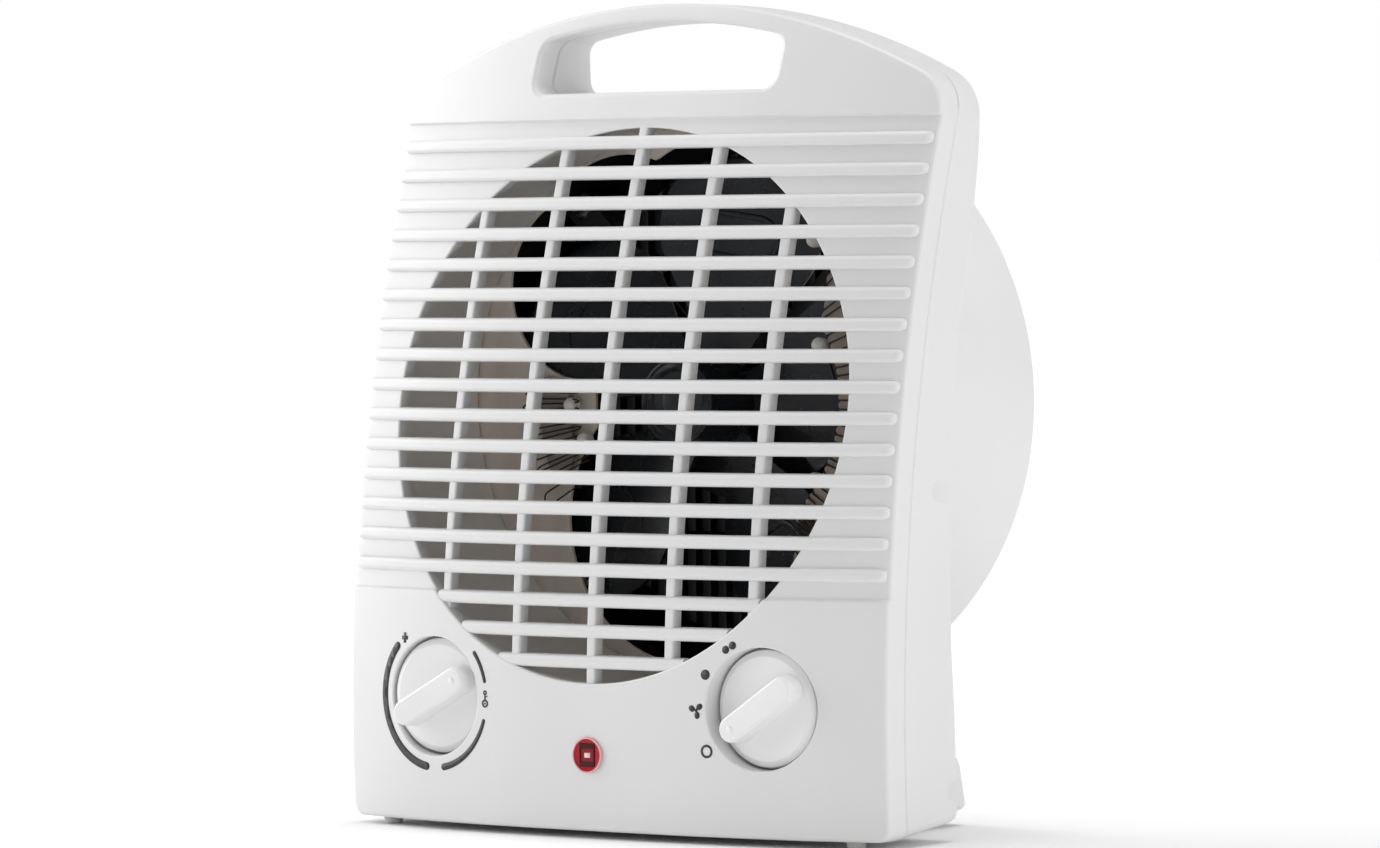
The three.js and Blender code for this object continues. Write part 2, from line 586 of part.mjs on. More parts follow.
function knob(side, pointer) {
  const body = turned(0, 0, [[0, KNOB_FACE_Y], [KNOB_FACE_RADIUS, KNOB_FACE_Y],
    [KNOB_RADIUS, KNOB_RIM_Y], [KNOB_RADIUS, WELL_FLOOR_Y - GAP], [0, WELL_FLOOR_Y - GAP]], 28);
  const hub = disc(0, 0, SHAFT_HOLE_RADIUS - GAP, KNOB_FACE_Y + 1, WELL_FLOOR_Y + 2.2, 12);
  const grip = plate(roundedRectangle(-GRIP_HALF_LENGTH, GRIP_HALF_LENGTH,
    -GRIP_HALF_WIDTH, GRIP_HALF_WIDTH, GRIP_HALF_WIDTH - 0.01), GRIP_TOP_Y, KNOB_FACE_Y + 1, 3);
  const dot = disc(GRIP_DOT.distance, 0, GRIP_DOT.radius, GRIP_DOT.front, GRIP_TOP_Y + 1, 12);
  const bore = disc(0, 0, SHAFT_RADIUS + GAP, 3.7, 20, 10);
  return cut(join(body, hub, grip, dot), bore).rotate([0, gripTurn(pointer), 0])
    .translate([side * KNOB_X, 0, KNOB_Z]);
}

const controlShaft = (side) => disc(side * KNOB_X, KNOB_Z, SHAFT_RADIUS, 4, 28, 10);

function controlBody(side, housing) {
  const collar = disc(side * KNOB_X, KNOB_Z, 7, WELL_FLOOR_Y + 2 + GAP, 17, 20);
  return cut(join(housing, collar), disc(side * KNOB_X, KNOB_Z, SHAFT_RADIUS + GAP, 0, 30, 14));
}

function thermostatBody() {
  const box = block(-KNOB_X - 15, -KNOB_X + 14, 16, 33, KNOB_Z - 12, KNOB_Z + 11);
  return controlBody(-1, box);
}

function selectorBody() {
  const drum = disc(KNOB_X, KNOB_Z, 15, 16, 32, 24);
  return controlBody(1, join(drum, block(KNOB_X - 9, KNOB_X + 9, 20, 34, KNOB_Z - 16, KNOB_Z + 8)));
}

function lampLens() {
  return turned(0, LAMP_Z, [[0, LAMP_FRONT_Y], [LAMP_RADIUS - 0.7, LAMP_FRONT_Y],
    [LAMP_RADIUS, LAMP_FRONT_Y + 0.4], [LAMP_RADIUS, LAMP_FRONT_Y + 0.75],
    [LAMP_HOLE_RADIUS - GAP, LAMP_FRONT_Y + 0.75], [LAMP_HOLE_RADIUS - GAP, 7], [0, 7]], 24);
}

function lampHolder() {
  const front = FACE_WALL + 1.2;
  return cut(disc(0, LAMP_Z, 7, front, 22, 20), disc(0, LAMP_Z, LAMP_HOLE_RADIUS, front - 1, 20.5, 20));
}

function terminalBlock() {
  const floor = WALL + GAP;
  const wireHoles = [-12, 0, 12].map((x) => block(x - 2, x + 2, 38, 52, floor + 6, floor + 10));
  return cut(block(-18, 18, 28, 40, floor, floor + 13), ...wireHoles);
}

function cordGland() {
  const { x, z, radius } = GLAND;
  return cut(turned(x, z, [[0, 94], [radius, 94], [radius, PLINTH.back + GAP], [7.4, PLINTH.back + GAP],
    [6.6, PLINTH.back + 3], [0, PLINTH.back + 3]], 20), disc(x, z, 3.4, 90, 110, 14));
}

// ---------------------------------------------------------------- assembly

const heater = new THREE.Group();
const casing = new THREE.Group();
heater.add(casing);
casing.position.set(0, -(LAMP_FRONT_Y + REAR_Y) / 2, FOOT_HEIGHT);

function add(name, body, material) {
  const mesh = new THREE.Mesh(geometryOf(body), material);
  mesh.name = name;
  casing.add(mesh);
}

add('front_cover', frontCover(), WHITE_PLASTIC);
add('rear_cover', rearCover(), WHITE_PLASTIC);
add('rear_grille', rearGrille(), BLACK_PLASTIC);

add('heat_shield_duct', duct(), GREY_STEEL);
add('element_baffle', baffle(), GREY_STEEL);
add('element_mica_left', mica(49, 61, 172, 207), MICA);
add('element_mica_right', mica(50, 72, -58, 54), MICA);
add('heating_wire_left', heatingWire(174, 206, 10), RESISTANCE_WIRE);
add('heating_wire_right', heatingWire(-54, 48, 18), RESISTANCE_WIRE);
add('element_terminal_left', terminal(200), BRASS);
add('element_terminal_right', terminal(-20), BRASS);
INSULATORS.forEach((place, i) => add(`ceramic_insulator_${i + 1}`, insulator(place), CERAMIC));
add('thermal_cutout', thermalCutout(), CERAMIC);

add('fan_shroud', fanShroud(), BLACK_PLASTIC);
add('fan_impeller', fan(), FAN_PLASTIC);
add('motor_shaft', motorShaft(), BARE_STEEL);
add('motor_rotor', motorRotor(), LAMINATED_STEEL);
add('motor_stator', motorStator(), LAMINATED_STEEL);
add('motor_coil', motorCoil(), COPPER);
add('motor_housing', motorHousing(), GREY_STEEL);
add('motor_bracket', motorBracket(), GREY_STEEL);
add('motor_bearing_front', bearing(BRACKET_Y - 1, BRACKET_Y + BRACKET_THICKNESS + 0.8), BRASS);
add('motor_bearing_rear', bearing(MOTOR_BACK_Y - 3.5, MOTOR_BACK_Y + 0.4), BRASS);

add('thermostat_knob', knob(-1, THERMOSTAT_POINTER), WHITE_PLASTIC);
add('thermostat_shaft', controlShaft(-1), BARE_STEEL);
add('thermostat_body', thermostatBody(), BLACK_PLASTIC);
add('selector_knob', knob(1, SELECTOR_POINTER), WHITE_PLASTIC);
add('selector_shaft', controlShaft(1), BARE_STEEL);
add('selector_body', selectorBody(), BLACK_PLASTIC);

add('pilot_lamp_lens', lampLens(), RED_LENS);
add('pilot_lamp_holder', lampHolder(), WHITE_PLASTIC);
add('pilot_lamp_bulb', disc(0, LAMP_Z, 3, 8, 19, 12), CLEAR_GLASS);
add('terminal_block', terminalBlock(), WHITE_PLASTIC);
add('cord_gland', cordGland(), BLACK_PLASTIC);

add('lead_lamp', strand([[0, 22.4, 23], [0, 27, 22], [0, 34, 21], [0, 43, 17.5], [0, 44, 10.8],
  [0, 40.5, 10.7]], 1.8, 14), RUBBER);
add('lead_thermostat', strand([[-60, 33.4, 36], [-56, 38, 34], [-36, 44, 24], [-15, 46, 12],
  [-12, 44, 10.8], [-12, 40.5, 10.7]], 1.8, 14), RUBBER);
add('lead_selector', strand([[60, 34.4, 34], [56, 39, 32], [36, 44, 24], [15, 46, 12],
  [12, 44, 10.8], [12, 40.5, 10.7]], 1.8, 14), RUBBER);
add('lead_motor', strand([[MOTOR_LEAD_X, 34, 16.2], [MOTOR_LEAD_X, 38, 24], [MOTOR_LEAD_X, 46, 38],
  [MOTOR_LEAD_X, 55, 43], [MOTOR_LEAD_X, 75, 43.2], [MOTOR_LEAD_X, 89, 47], [MOTOR_LEAD_X, 92, 70],
  [MOTOR_LEAD_X, 92, 102]], 1.8, 20), RUBBER);

for (const { name, x, z } of CASING_SCREWS) {
  const seat = seatOfCasingScrew({ x, z });
  add(`casing_screw_${name}_left`, screw(-x, z, seat + 0.05, 13, -1), BARE_STEEL);
  add(`casing_screw_${name}_right`, screw(x, z, seat + 0.05, 13, -1), BARE_STEEL);
}
LUG_ANGLES.forEach((angle, i) => {
  const x = LUG_RADIUS * Math.cos(radians(angle));
  const z = AXIS_Z + LUG_RADIUS * Math.sin(radians(angle));
  add(`bracket_screw_${i + 1}`, screw(x, z, BRACKET_Y - 0.05, 8, 1), BARE_STEEL);
  add(`grille_screw_${i + 1}`, screw(x, z, GRILLE.rimBack + 0.05, 9, -1), BARE_STEEL);
});
for (const [side, name] of [[-1, 'left'], [1, 'right']]) {
  add(`foot_front_${name}`, foot(side, FRONT_FOOT), PALE_RUBBER);
  add(`foot_rear_${name}`, foot(side, REAR_FOOT), PALE_RUBBER);
}

export default heater;
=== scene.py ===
"""Looks of the upright fan heater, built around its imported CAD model.

Shapes are drawn in millimetres in the casing's own frame: y = 0 is the foremost point of the
bowed front face, +Y runs backwards, and z = 0 is the bottom edge of the casing. put() moves
them into the shared frame, in metres."""

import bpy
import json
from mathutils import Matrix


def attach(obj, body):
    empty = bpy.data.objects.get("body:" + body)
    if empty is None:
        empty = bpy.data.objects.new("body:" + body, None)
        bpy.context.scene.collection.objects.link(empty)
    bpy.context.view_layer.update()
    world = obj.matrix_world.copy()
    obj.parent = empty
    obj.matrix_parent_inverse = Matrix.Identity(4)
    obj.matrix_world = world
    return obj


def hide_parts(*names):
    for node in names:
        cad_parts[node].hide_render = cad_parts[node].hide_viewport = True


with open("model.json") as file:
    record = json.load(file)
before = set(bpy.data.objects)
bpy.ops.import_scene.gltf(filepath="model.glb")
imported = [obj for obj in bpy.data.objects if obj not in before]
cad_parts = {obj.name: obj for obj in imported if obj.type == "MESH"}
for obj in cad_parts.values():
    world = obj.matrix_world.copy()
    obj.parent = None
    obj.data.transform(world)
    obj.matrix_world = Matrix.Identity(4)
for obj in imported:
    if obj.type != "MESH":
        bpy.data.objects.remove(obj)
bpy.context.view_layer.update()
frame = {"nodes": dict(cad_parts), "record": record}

import json
import math

import bmesh
import bpy
import numpy as np
from mathutils import Matrix, Vector
from mathutils.geometry import delaunay_2d_cdt

# ------------------------------------------------------------------ dimensions, millimetres

ORIGIN = (0.0, -53.5, 2.2)
HALF_WIDTH = 103.5
CASE_TOP = 257.8
ARCH_RADIUS = 210.0
ARCH_Z = CASE_TOP - ARCH_RADIUS
RIM = 9.8               # depth of the front cover's wall
SEAM = 0.3              # gap between the two covers
SIDE_BOW = 12.4         # how far the face falls back at its left and right edges
SIDE_BOW_POWER = 2.7
UPRIGHT_BOW = 1111.2    # divisor of the bow in side view
BOW_CENTRE_Z = 33.0     # height of the foremost line
AXIS_Z = 132.3
OUTLET_RADIUS = 86.3
BAND = (73.5, 221.4)
BAND_DEPTH = 1.2
BAR_TOP_Z = 214.1
BAR_PITCH = 9.5
POST_PITCH = 29.47
KNOB_X = 63.0
KNOB_Z = 39.9
WELL_RADIUS = 18.9
WELL_FLOOR = 10.7
LAMP_Z = 23.8
DRUM_RADIUS = 97.0
DRUM_BACK = 107.9
DUCT_RADIUS = 87.0
BAFFLE_Y = 60.3
UNDERSIDE_START = 22    # where the rear underside starts to rise
UNDERSIDE_SLOPE = 0.12
UNDERSIDE_REACH = 12    # height at which the rise has died out
# x, z, y of the recess's floor, radius of the recess
SCREW_SITES = ((99.0, 12.8, 45.0, 5.2), (99.0, 105.9, 38.0, 5.2), (75.0, 236.0, 63.4, 4.4))
# z and y of the casing's back in side view
REAR_LINE = ((-12, 53.5), (28, 53.0), (66, 50.8), (110, 51.2), (142, 54.0),
             (172, 60.6), (200, 66.8), (222, 69.2), (270, 67.5))
# x and height above the outlet's centre
INSULATORS = ((48.8, 17.9), (46.5, -24.4), (47.2, 50.7), (-48.1, -1.6), (-43.0, -12.8))


def face_y(x, z):
    """Depth of the bowed front face behind its foremost point."""
    sideways = SIDE_BOW * (abs(x) / HALF_WIDTH) ** SIDE_BOW_POWER
    return (z - BOW_CENTRE_Z) ** 2 / UPRIGHT_BOW + sideways


def rear_y(z):
    """Back of the casing in side view, a smooth line through REAR_LINE."""
    zs = [p[0] for p in REAR_LINE]
    ys = [p[1] for p in REAR_LINE]
    z = min(max(z, zs[0]), zs[-1] - 1e-6)
    i = max(k for k in range(len(zs) - 1) if zs[k] <= z)
    slopes = []
    for k in (i, i + 1):
        a, b = max(k - 1, 0), min(k + 1, len(zs) - 1)
        slopes.append((ys[b] - ys[a]) / (zs[b] - zs[a]))
    h = zs[i + 1] - zs[i]
    t = (z - zs[i]) / h
    return (ys[i] * (2 * t**3 - 3 * t**2 + 1) + slopes[0] * h * (t**3 - 2 * t**2 + t)
            + ys[i + 1] * (3 * t**2 - 2 * t**3) + slopes[1] * h * (t**3 - t**2))


def smooth(t):
    """Smooth step from 0 to 1."""
    t = min(max(t, 0.0), 1.0)
    return t * t * (3 - 2 * t)


# ------------------------------------------------------------------ mesh helpers

SHARP_ANGLE = 34

def clean_mesh(name, points, faces, weld):
    """Mesh from points in metres, with its normals outwards."""
    mesh = bpy.data.meshes.new(name)
    mesh.from_pydata(points, [], faces)
    bm = bmesh.new()
    bm.from_mesh(mesh)
    if weld:
        bmesh.ops.remove_doubles(bm, verts=bm.verts, dist=2e-6)
    bmesh.ops.recalc_face_normals(bm, faces=bm.faces)
    bm.to_mesh(mesh)
    bm.free()
    return mesh


def put(name, verts, faces, material, body="housing", stands_for=(), slot="white_plastic",
        weighted=True, weld=True):
    """Makes one piece from points in millimetres and lets it ride on a body."""
    ox, oy, oz = ORIGIN
    points = [((x + ox) / 1000, (y + oy) / 1000, (z + oz) / 1000) for x, y, z in verts]
    mesh = clean_mesh(name, points, faces, weld)
    mesh.shade_smooth()
    mesh.set_sharp_from_angle(angle=math.radians(SHARP_ANGLE))
    obj = bpy.data.objects.new(name, mesh)
    bpy.context.scene.collection.objects.link(obj)
    mesh.materials.append(material)
    if weighted:
        modifier = obj.modifiers.new("normals", "WEIGHTED_NORMAL")
        modifier.keep_sharp = True
    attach(obj, body)
    if stands_for:
        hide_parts(*stands_for)
    return obj


class Parts:
    """Collects several closed shapes into one piece."""

    def __init__(self):
        self.verts, self.faces = [], []

    def add(self, shape):
        verts, faces = shape
        base = len(self.verts)
        self.verts += [tuple(v) for v in verts]
        self.faces += [[base + i for i in face] for face in faces]
        return self

    def put(self, name, material, **settings):
        return put(name, self.verts, self.faces, material, weld=False, **settings)


def loft(rings, loop=False):
    """Skin over rings of equal length; the ends are capped, or the last ring meets the first."""
    count = len(rings[0])
    verts = [p for ring in rings for p in ring]
    faces = []
    spans = len(rings) if loop else len(rings) - 1
    for i in range(spans):
        a, b = i * count, ((i + 1) % len(rings)) * count
        for j in range(count):
            k = (j + 1) % count
            faces.append([a + j, a + k, b + k, b + j])
    if not loop:
        faces.append(list(range(count)))
        faces.append([len(verts) - count + j for j in range(count)])
    return verts, faces


def turned(profile, x=0.0, z=0.0, segments=96):
    """Round shape about a line along Y from (radius, y) pairs that start and end on the line."""
    verts, faces, rings = [], [], []
    for radius, y in profile:
        if radius < 1e-6:
            rings.append([len(verts)])
            verts.append((x, y, z))
            continue
        rings.append(list(range(len(verts), len(verts) + segments)))
        for k in range(segments):
            a = 2 * math.pi * k / segments
            verts.append((x + radius * math.cos(a), y, z + radius * math.sin(a)))
    for a, b in zip(rings, rings[1:]):
        if len(a) == 1 and len(b) == 1:
            continue
        for k in range(segments):
            n = (k + 1) % segments
            corners = [a[k % len(a)], a[n % len(a)], b[n % len(b)], b[k % len(b)]]
            faces.append(list(dict.fromkeys(corners)))
    return verts, faces


def ring_of(profile, x=0.0, z=0.0, segments=128):
    """Round shape whose (radius, y) section closes on itself and stays off the line."""
    rings = []
    for radius, y in profile:
        rings.append([(px, y, pz) for px, pz in circle(x, z, radius, segments)])
    return loft(rings, loop=True)


def corner(cx, cy, r, a0, a1, n=5):
    """Points of a round corner, angles in degrees."""
    return [(cx + r * math.cos(math.radians(a0 + (a1 - a0) * k / n)),
             cy + r * math.sin(math.radians(a0 + (a1 - a0) * k / n))) for k in range(n + 1)]


def circle(cx, cz, r, n=96):
    """Points evenly round a circle."""
    return [(cx + r * math.cos(2 * math.pi * k / n), cz + r * math.sin(2 * math.pi * k / n))
            for k in range(n)]


def resampled(loop, step):
    """The same loop with its long edges divided."""
    out = []
    for i, a in enumerate(loop):
        b = loop[(i + 1) % len(loop)]
        n = max(1, round(math.dist(a, b) / step))
        out += [(a[0] + (b[0] - a[0]) * k / n, a[1] + (b[1] - a[1]) * k / n) for k in range(n)]
    return out


def tidy(loop):
    """The loop without points that fall on the one before."""
    return [p for i, p in enumerate(loop) if math.dist(p, loop[i - 1]) > 1e-4]


def arched(half, bottom, low_radius, high_radius, arch_radius, step=4.0):
    """Straight sides, round lower corners and shoulders, and an arch about the arch centre."""
    sx = half - high_radius
    angle = math.degrees(math.acos(sx / (arch_radius - high_radius)))
    sz = ARCH_Z + (arch_radius - high_radius) * math.sin(math.radians(angle))
    lx, lz = half - low_radius, bottom + low_radius
    loop = corner(lx, lz, low_radius, -90, 0, 8)
    loop += corner(sx, sz, high_radius, 0, angle, 12)
    loop += corner(0, ARCH_Z, arch_radius, angle, 180 - angle, 60)
    loop += corner(-sx, sz, high_radius, 180 - angle, 180, 12)
    loop += corner(-lx, lz, low_radius, 180, 270, 8)
    return resampled(tidy(loop), step)


def shifted(loop, d):
    """The loop moved by d towards its left hand."""
    if abs(d) < 1e-9:
        return list(loop)
    points = np.array(loop)
    ahead = np.roll(points, -1, 0) - points
    ahead /= np.linalg.norm(ahead, axis=1)[:, None]
    behind = np.roll(ahead, 1, 0)
    middle = ahead + behind
    middle /= np.linalg.norm(middle, axis=1)[:, None]
    scale = d / np.clip((middle * ahead).sum(1), 0.5, 1)
    leftwards = np.stack([-middle[:, 1], middle[:, 0]], 1)
    return [tuple(p) for p in points + leftwards * scale[:, None]]


def inside(points, loops):
    """Even-odd test of many points against loops."""
    points = np.asarray(points, float).reshape(-1, 2)
    odd = np.zeros(len(points), bool)
    for loop in loops:
        a = np.array(loop)
        b = np.roll(a, -1, 0)
        for (x0, z0), (x1, z1) in zip(a, b):
            if z0 == z1:
                continue
            crosses = (z0 > points[:, 1]) != (z1 > points[:, 1])
            at = x0 + (points[:, 1] - z0) * (x1 - x0) / (z1 - z0)
            odd ^= crosses & (points[:, 0] < at)
    return odd


def filled(loops, spacing):
    """Triangles between an outer loop and its holes, with an even scatter of inner points."""
    flat = [p for loop in loops for p in loop]
    edges = []
    start = 0
    for loop in loops:
        edges += [(start + i, start + (i + 1) % len(loop)) for i in range(len(loop))]
        start += len(loop)
    outline = np.array(flat)
    low, high = outline.min(0), outline.max(0)
    grid = [(x, z) for x in np.arange(low[0] + spacing / 2, high[0], spacing)
            for z in np.arange(low[1] + spacing / 2, high[1], spacing)]
    if grid:
        grid = np.array(grid)[inside(grid, loops)]
        if len(grid):
            near = np.array([np.min(np.hypot(*(outline - g).T)) for g in grid])
            flat = flat + [tuple(g) for g in grid[near > spacing * 0.4]]
    found = delaunay_2d_cdt([Vector(p) for p in flat], edges, [], 0, 1e-6)
    points = [tuple(v) for v in found[0]]
    triangles = list(found[2])
    centres = [np.mean([points[i] for i in f], axis=0) for f in triangles]
    keep = inside(centres, loops)
    return points, [f for f, k in zip(triangles, keep) if k]


def plate(loops, spacing):
    """Closed plate. Each loop is (points, profile); a profile lists (inset, depth) from the
    front face round to the back, where depth is a number or a function of x and z."""
    def at(depth, x, z):
        return depth(x, z) if callable(depth) else depth

    verts, faces = [], []
    fronts, backs = [], []
    for points, profile in loops:
        rings = [shifted(points, inset) for inset, _ in profile]
        start = len(verts)
        for ring, (_, depth) in zip(rings, profile):
            verts += [(x, at(depth, x, z), z) for x, z in ring]
        n = len(points)
        for i in range(len(profile) - 1):
            for j in range(n):
                k = (j + 1) % n
                faces.append([start + i * n + j, start + i * n + k,
                              start + (i + 1) * n + k, start + (i + 1) * n + j])
        fronts.append((rings[0], profile[0][1]))
        backs.append((rings[-1], profile[-1][1]))
    for side in (fronts, backs):
        points, triangles = filled([ring for ring, _ in side], spacing)
        base = len(verts)
        verts += [(x, at(side[0][1], x, z), z) for x, z in points]
        faces += [[base + i for i in f] for f in triangles]
    return verts, faces


def fillet(r, n=5):
    """Front edge of a plate: from the face at inset r round to the wall."""
    return [(r * (1 - math.sin(math.pi / 2 * k / n)), r * (1 - math.cos(math.pi / 2 * k / n)))
            for k in range(n + 1)]


def prism(outline, lo, hi, bevel, segments, limit=25):
    """Outline carried upwards from lo to hi, with its edges sharper than limit rounded."""
    bm = bmesh.new()
    low = [bm.verts.new((x, y, lo)) for x, y in outline]
    high = [bm.verts.new((x, y, hi)) for x, y in outline]
    bm.faces.new(low)
    bm.faces.new(high[::-1])
    for i in range(len(low)):
        j = (i + 1) % len(low)
        bm.faces.new([low[i], low[j], high[j], high[i]])
    bmesh.ops.recalc_face_normals(bm, faces=bm.faces)
    edges = [e for e in bm.edges if e.calc_face_angle(0) > math.radians(limit)]
    bmesh.ops.bevel(bm, geom=edges, offset=bevel, segments=segments, profile=0.5,
                    affect="EDGES", clamp_overlap=True)
    bm.verts.index_update()
    verts = [tuple(v.co) for v in bm.verts]
    faces = [[v.index for v in f.verts] for f in bm.faces]
    bm.free()
    return verts, faces


def moved(shape, turn=0.0, tilt=0.0, to=(0, 0, 0)):
    """A shape tilted about X, turned about Y (clockwise seen from the front), then moved."""
    spin = (Matrix.Rotation(math.radians(turn), 3, "Y")
            @ Matrix.Rotation(math.radians(tilt), 3, "X"))
    return [tuple(spin @ Vector(v) + Vector(to)) for v in shape[0]], shape[1]


def rounded_box(x0, x1, y0, y1, r, n=6):
    """Rectangle with round corners."""
    return (corner(x1 - r, y0 + r, r, -90, 0, n) + corner(x1 - r, y1 - r, r, 0, 90, n)
            + corner(x0 + r, y1 - r, r, 90, 180, n) + corner(x0 + r, y0 + r, r, 180, 270, n))


# ------------------------------------------------------------------ materials


RELIEF_DEPTH = 0.00005


def material(name, color, rough, metal=0.0, other=None, patch=40.0, patch_rough=0.06,
             grain=900.0, bump=0.06, stretch=(1, 1, 1), **sockets):
    """Procedural finish: slow colour and gloss drift, and a fine relief. Further settings
    name shader sockets."""
    mat = bpy.data.materials.new(name)
    mat.use_nodes = True
    tree = mat.node_tree
    shader = tree.nodes["Principled BSDF"]
    new, link = tree.nodes.new, tree.links.new
    place = new("ShaderNodeTexCoord")
    mapping = new("ShaderNodeMapping")
    mapping.inputs["Scale"].default_value = stretch
    link(place.outputs["Object"], mapping.inputs["Vector"])

    def noise(scale, detail):
        node = new("ShaderNodeTexNoise")
        node.inputs["Scale"].default_value = scale
        node.inputs["Detail"].default_value = detail
        link(mapping.outputs["Vector"], node.inputs["Vector"])
        return node.outputs["Fac"]
    slow = noise(patch, 4)
    ramp = new("ShaderNodeValToRGB")
    ramp.color_ramp.elements[0].position = 0.3
    ramp.color_ramp.elements[1].position = 0.7
    second = other or [c * 0.965 for c in color]
    ramp.color_ramp.elements[0].color = (*second, 1)
    ramp.color_ramp.elements[1].color = (*color, 1)
    link(slow, ramp.inputs["Fac"])
    link(ramp.outputs["Color"], shader.inputs["Base Color"])
    spread = new("ShaderNodeMapRange")
    spread.inputs["To Min"].default_value = max(0.02, rough - patch_rough)
    spread.inputs["To Max"].default_value = rough + patch_rough
    link(noise(patch * 5, 5), spread.inputs["Value"])
    link(spread.outputs["Result"], shader.inputs["Roughness"])
    relief = new("ShaderNodeBump")
    relief.inputs["Strength"].default_value = bump
    relief.inputs["Distance"].default_value = RELIEF_DEPTH
    link(noise(grain, 3), relief.inputs["Height"])
    link(relief.outputs["Normal"], shader.inputs["Normal"])
    shader.inputs["Metallic"].default_value = metal
    shader.inputs["IOR"].default_value = 1.5
    for socket, value in sockets.items():
        title = socket.replace("_", " ").title().replace("Ior", "IOR")
        shader.inputs[title].default_value = value
    return mat


def banded(mat, scale, dark):
    """Adds fine bands along Y, as in laminations or windings."""
    tree = mat.node_tree
    shader = tree.nodes["Principled BSDF"]
    source = shader.inputs["Base Color"].links[0].from_socket
    place = [n for n in tree.nodes if n.type == "TEX_COORD"][0]
    wave = tree.nodes.new("ShaderNodeTexWave")
    wave.bands_direction = "Y"
    wave.inputs["Scale"].default_value = scale
    wave.inputs["Distortion"].default_value = 0.4
    tree.links.new(place.outputs["Object"], wave.inputs["Vector"])
    mix = tree.nodes.new("ShaderNodeMix")
    mix.data_type = "RGBA"
    mix.inputs["B"].default_value = (*dark, 1)
    level = tree.nodes.new("ShaderNodeMath")
    level.operation = "MULTIPLY"
    level.inputs[1].default_value = 0.6
    tree.links.new(wave.outputs["Fac"], level.inputs[0])
    tree.links.new(level.outputs[0], mix.inputs["Factor"])
    tree.links.new(source, mix.inputs["A"])
    tree.links.new(mix.outputs["Result"], shader.inputs["Base Color"])
    return mat


ABS = material("white_abs", (0.745, 0.745, 0.745), 0.42, patch=18, grain=1600, bump=0.10)
ABS_KNOB = material("white_abs_knob", (0.85, 0.85, 0.847), 0.36, patch=30, grain=1800, bump=0.07)
DARK = material("black_plastic", (0.010, 0.010, 0.011), 0.8, patch=60, grain=1400, bump=0.12,
                specular_ior_level=0.12)
FAN = material("fan_plastic", (0.020, 0.024, 0.030), 0.27, other=(0.013, 0.016, 0.020), patch=14,
               patch_rough=0.05, grain=350, bump=0.10, specular_ior_level=0.4)
DUCT = material("duct_steel", (0.84, 0.81, 0.77), 0.42, 0.12, other=(0.74, 0.71, 0.67), patch=30,
                grain=260, bump=0.18, stretch=(1, 0.12, 1))
# The beige is the plate's own colour; its darker upright streaks, from the stretched noise, are
# painted reflections.
BAFFLE = material("baffle_steel_painted_streaks", (0.84, 0.75, 0.68), 0.45, 0.12, other=(0.62, 0.55, 0.49),
                  patch=60, grain=420, bump=0.14, stretch=(1, 1, 0.25))
MICA = material("mica_board", (0.38, 0.32, 0.275), 0.42, other=(0.27, 0.225, 0.19), patch=160,
                patch_rough=0.12, grain=700, bump=0.35)
WIRE = material("resistance_wire", (0.055, 0.046, 0.040), 0.38, 0.85,
                other=(0.04, 0.034, 0.03), patch=200)
CERAMIC = material("white_ceramic", (0.86, 0.85, 0.81), 0.22, patch=90, grain=800, bump=0.10)
STEEL = material("bare_steel", (0.55, 0.56, 0.58), 0.27, 1.0, patch=120, grain=1200, bump=0.10)
ZINC = material("sheet_steel", (0.50, 0.49, 0.47), 0.40, 0.9, other=(0.42, 0.415, 0.40), patch=70,
                grain=500, bump=0.12)
# Near-black steel: painted shade for the motor's can and bracket behind the fan.
SHADE_DARK_STEEL = material("dark_steel_painted_shade", (0.022, 0.022, 0.024), 0.55, 0.2, patch=70, grain=700,
                   bump=0.12)
LAMINATED = banded(material("laminated_steel", (0.22, 0.225, 0.23), 0.45, 0.9), 260,
                   (0.05, 0.05, 0.055))
COPPER = banded(material("copper_winding", (0.52, 0.23, 0.10), 0.33, 0.9), 300,
                (0.20, 0.08, 0.03))
BRASS = material("brass", (0.60, 0.43, 0.18), 0.30, 1.0, patch=150, grain=900, bump=0.08)
GLASS = material("clear_glass", (0.92, 0.90, 0.86), 0.06, patch=100, bump=0.02,
                 transmission_weight=0.85)
RUBBER = material("rubber", (0.10, 0.10, 0.105), 0.75, patch=80, grain=1100, bump=0.3)
PALE_RUBBER = material("pale_rubber", (0.62, 0.62, 0.60), 0.55, patch=80, grain=900, bump=0.2)
INK = material("printed_ink", (0.026, 0.026, 0.029), 0.50, patch=120, grain=1500, bump=0.08)
RED = material("red_lens", (0.50, 0.010, 0.018), 0.18, other=(0.38, 0.006, 0.012), patch=140,
               patch_rough=0.03, grain=500, bump=0.06, specular_ior_level=0.25)
RED_DEEP = material("red_lens_field", (0.24, 0.006, 0.016), 0.2, patch=300, bump=0.1,
                    specular_ior_level=0.3)
RED_DARK = material("red_lens_facet", (0.040, 0.005, 0.007), 0.3, patch=140, bump=0.05,
                    specular_ior_level=0.25)
# Pale pink: a painted highlight on the lens's edge.
RED_RIM_HIGHLIGHT = material("red_lens_rim_painted_highlight", (0.78, 0.46, 0.46), 0.25, patch=140, bump=0.05,
                   specular_ior_level=0.4)
LAMP_CORE = material("lamp_core", (0.90, 0.66, 0.66), 0.2, patch=140, bump=0.05)

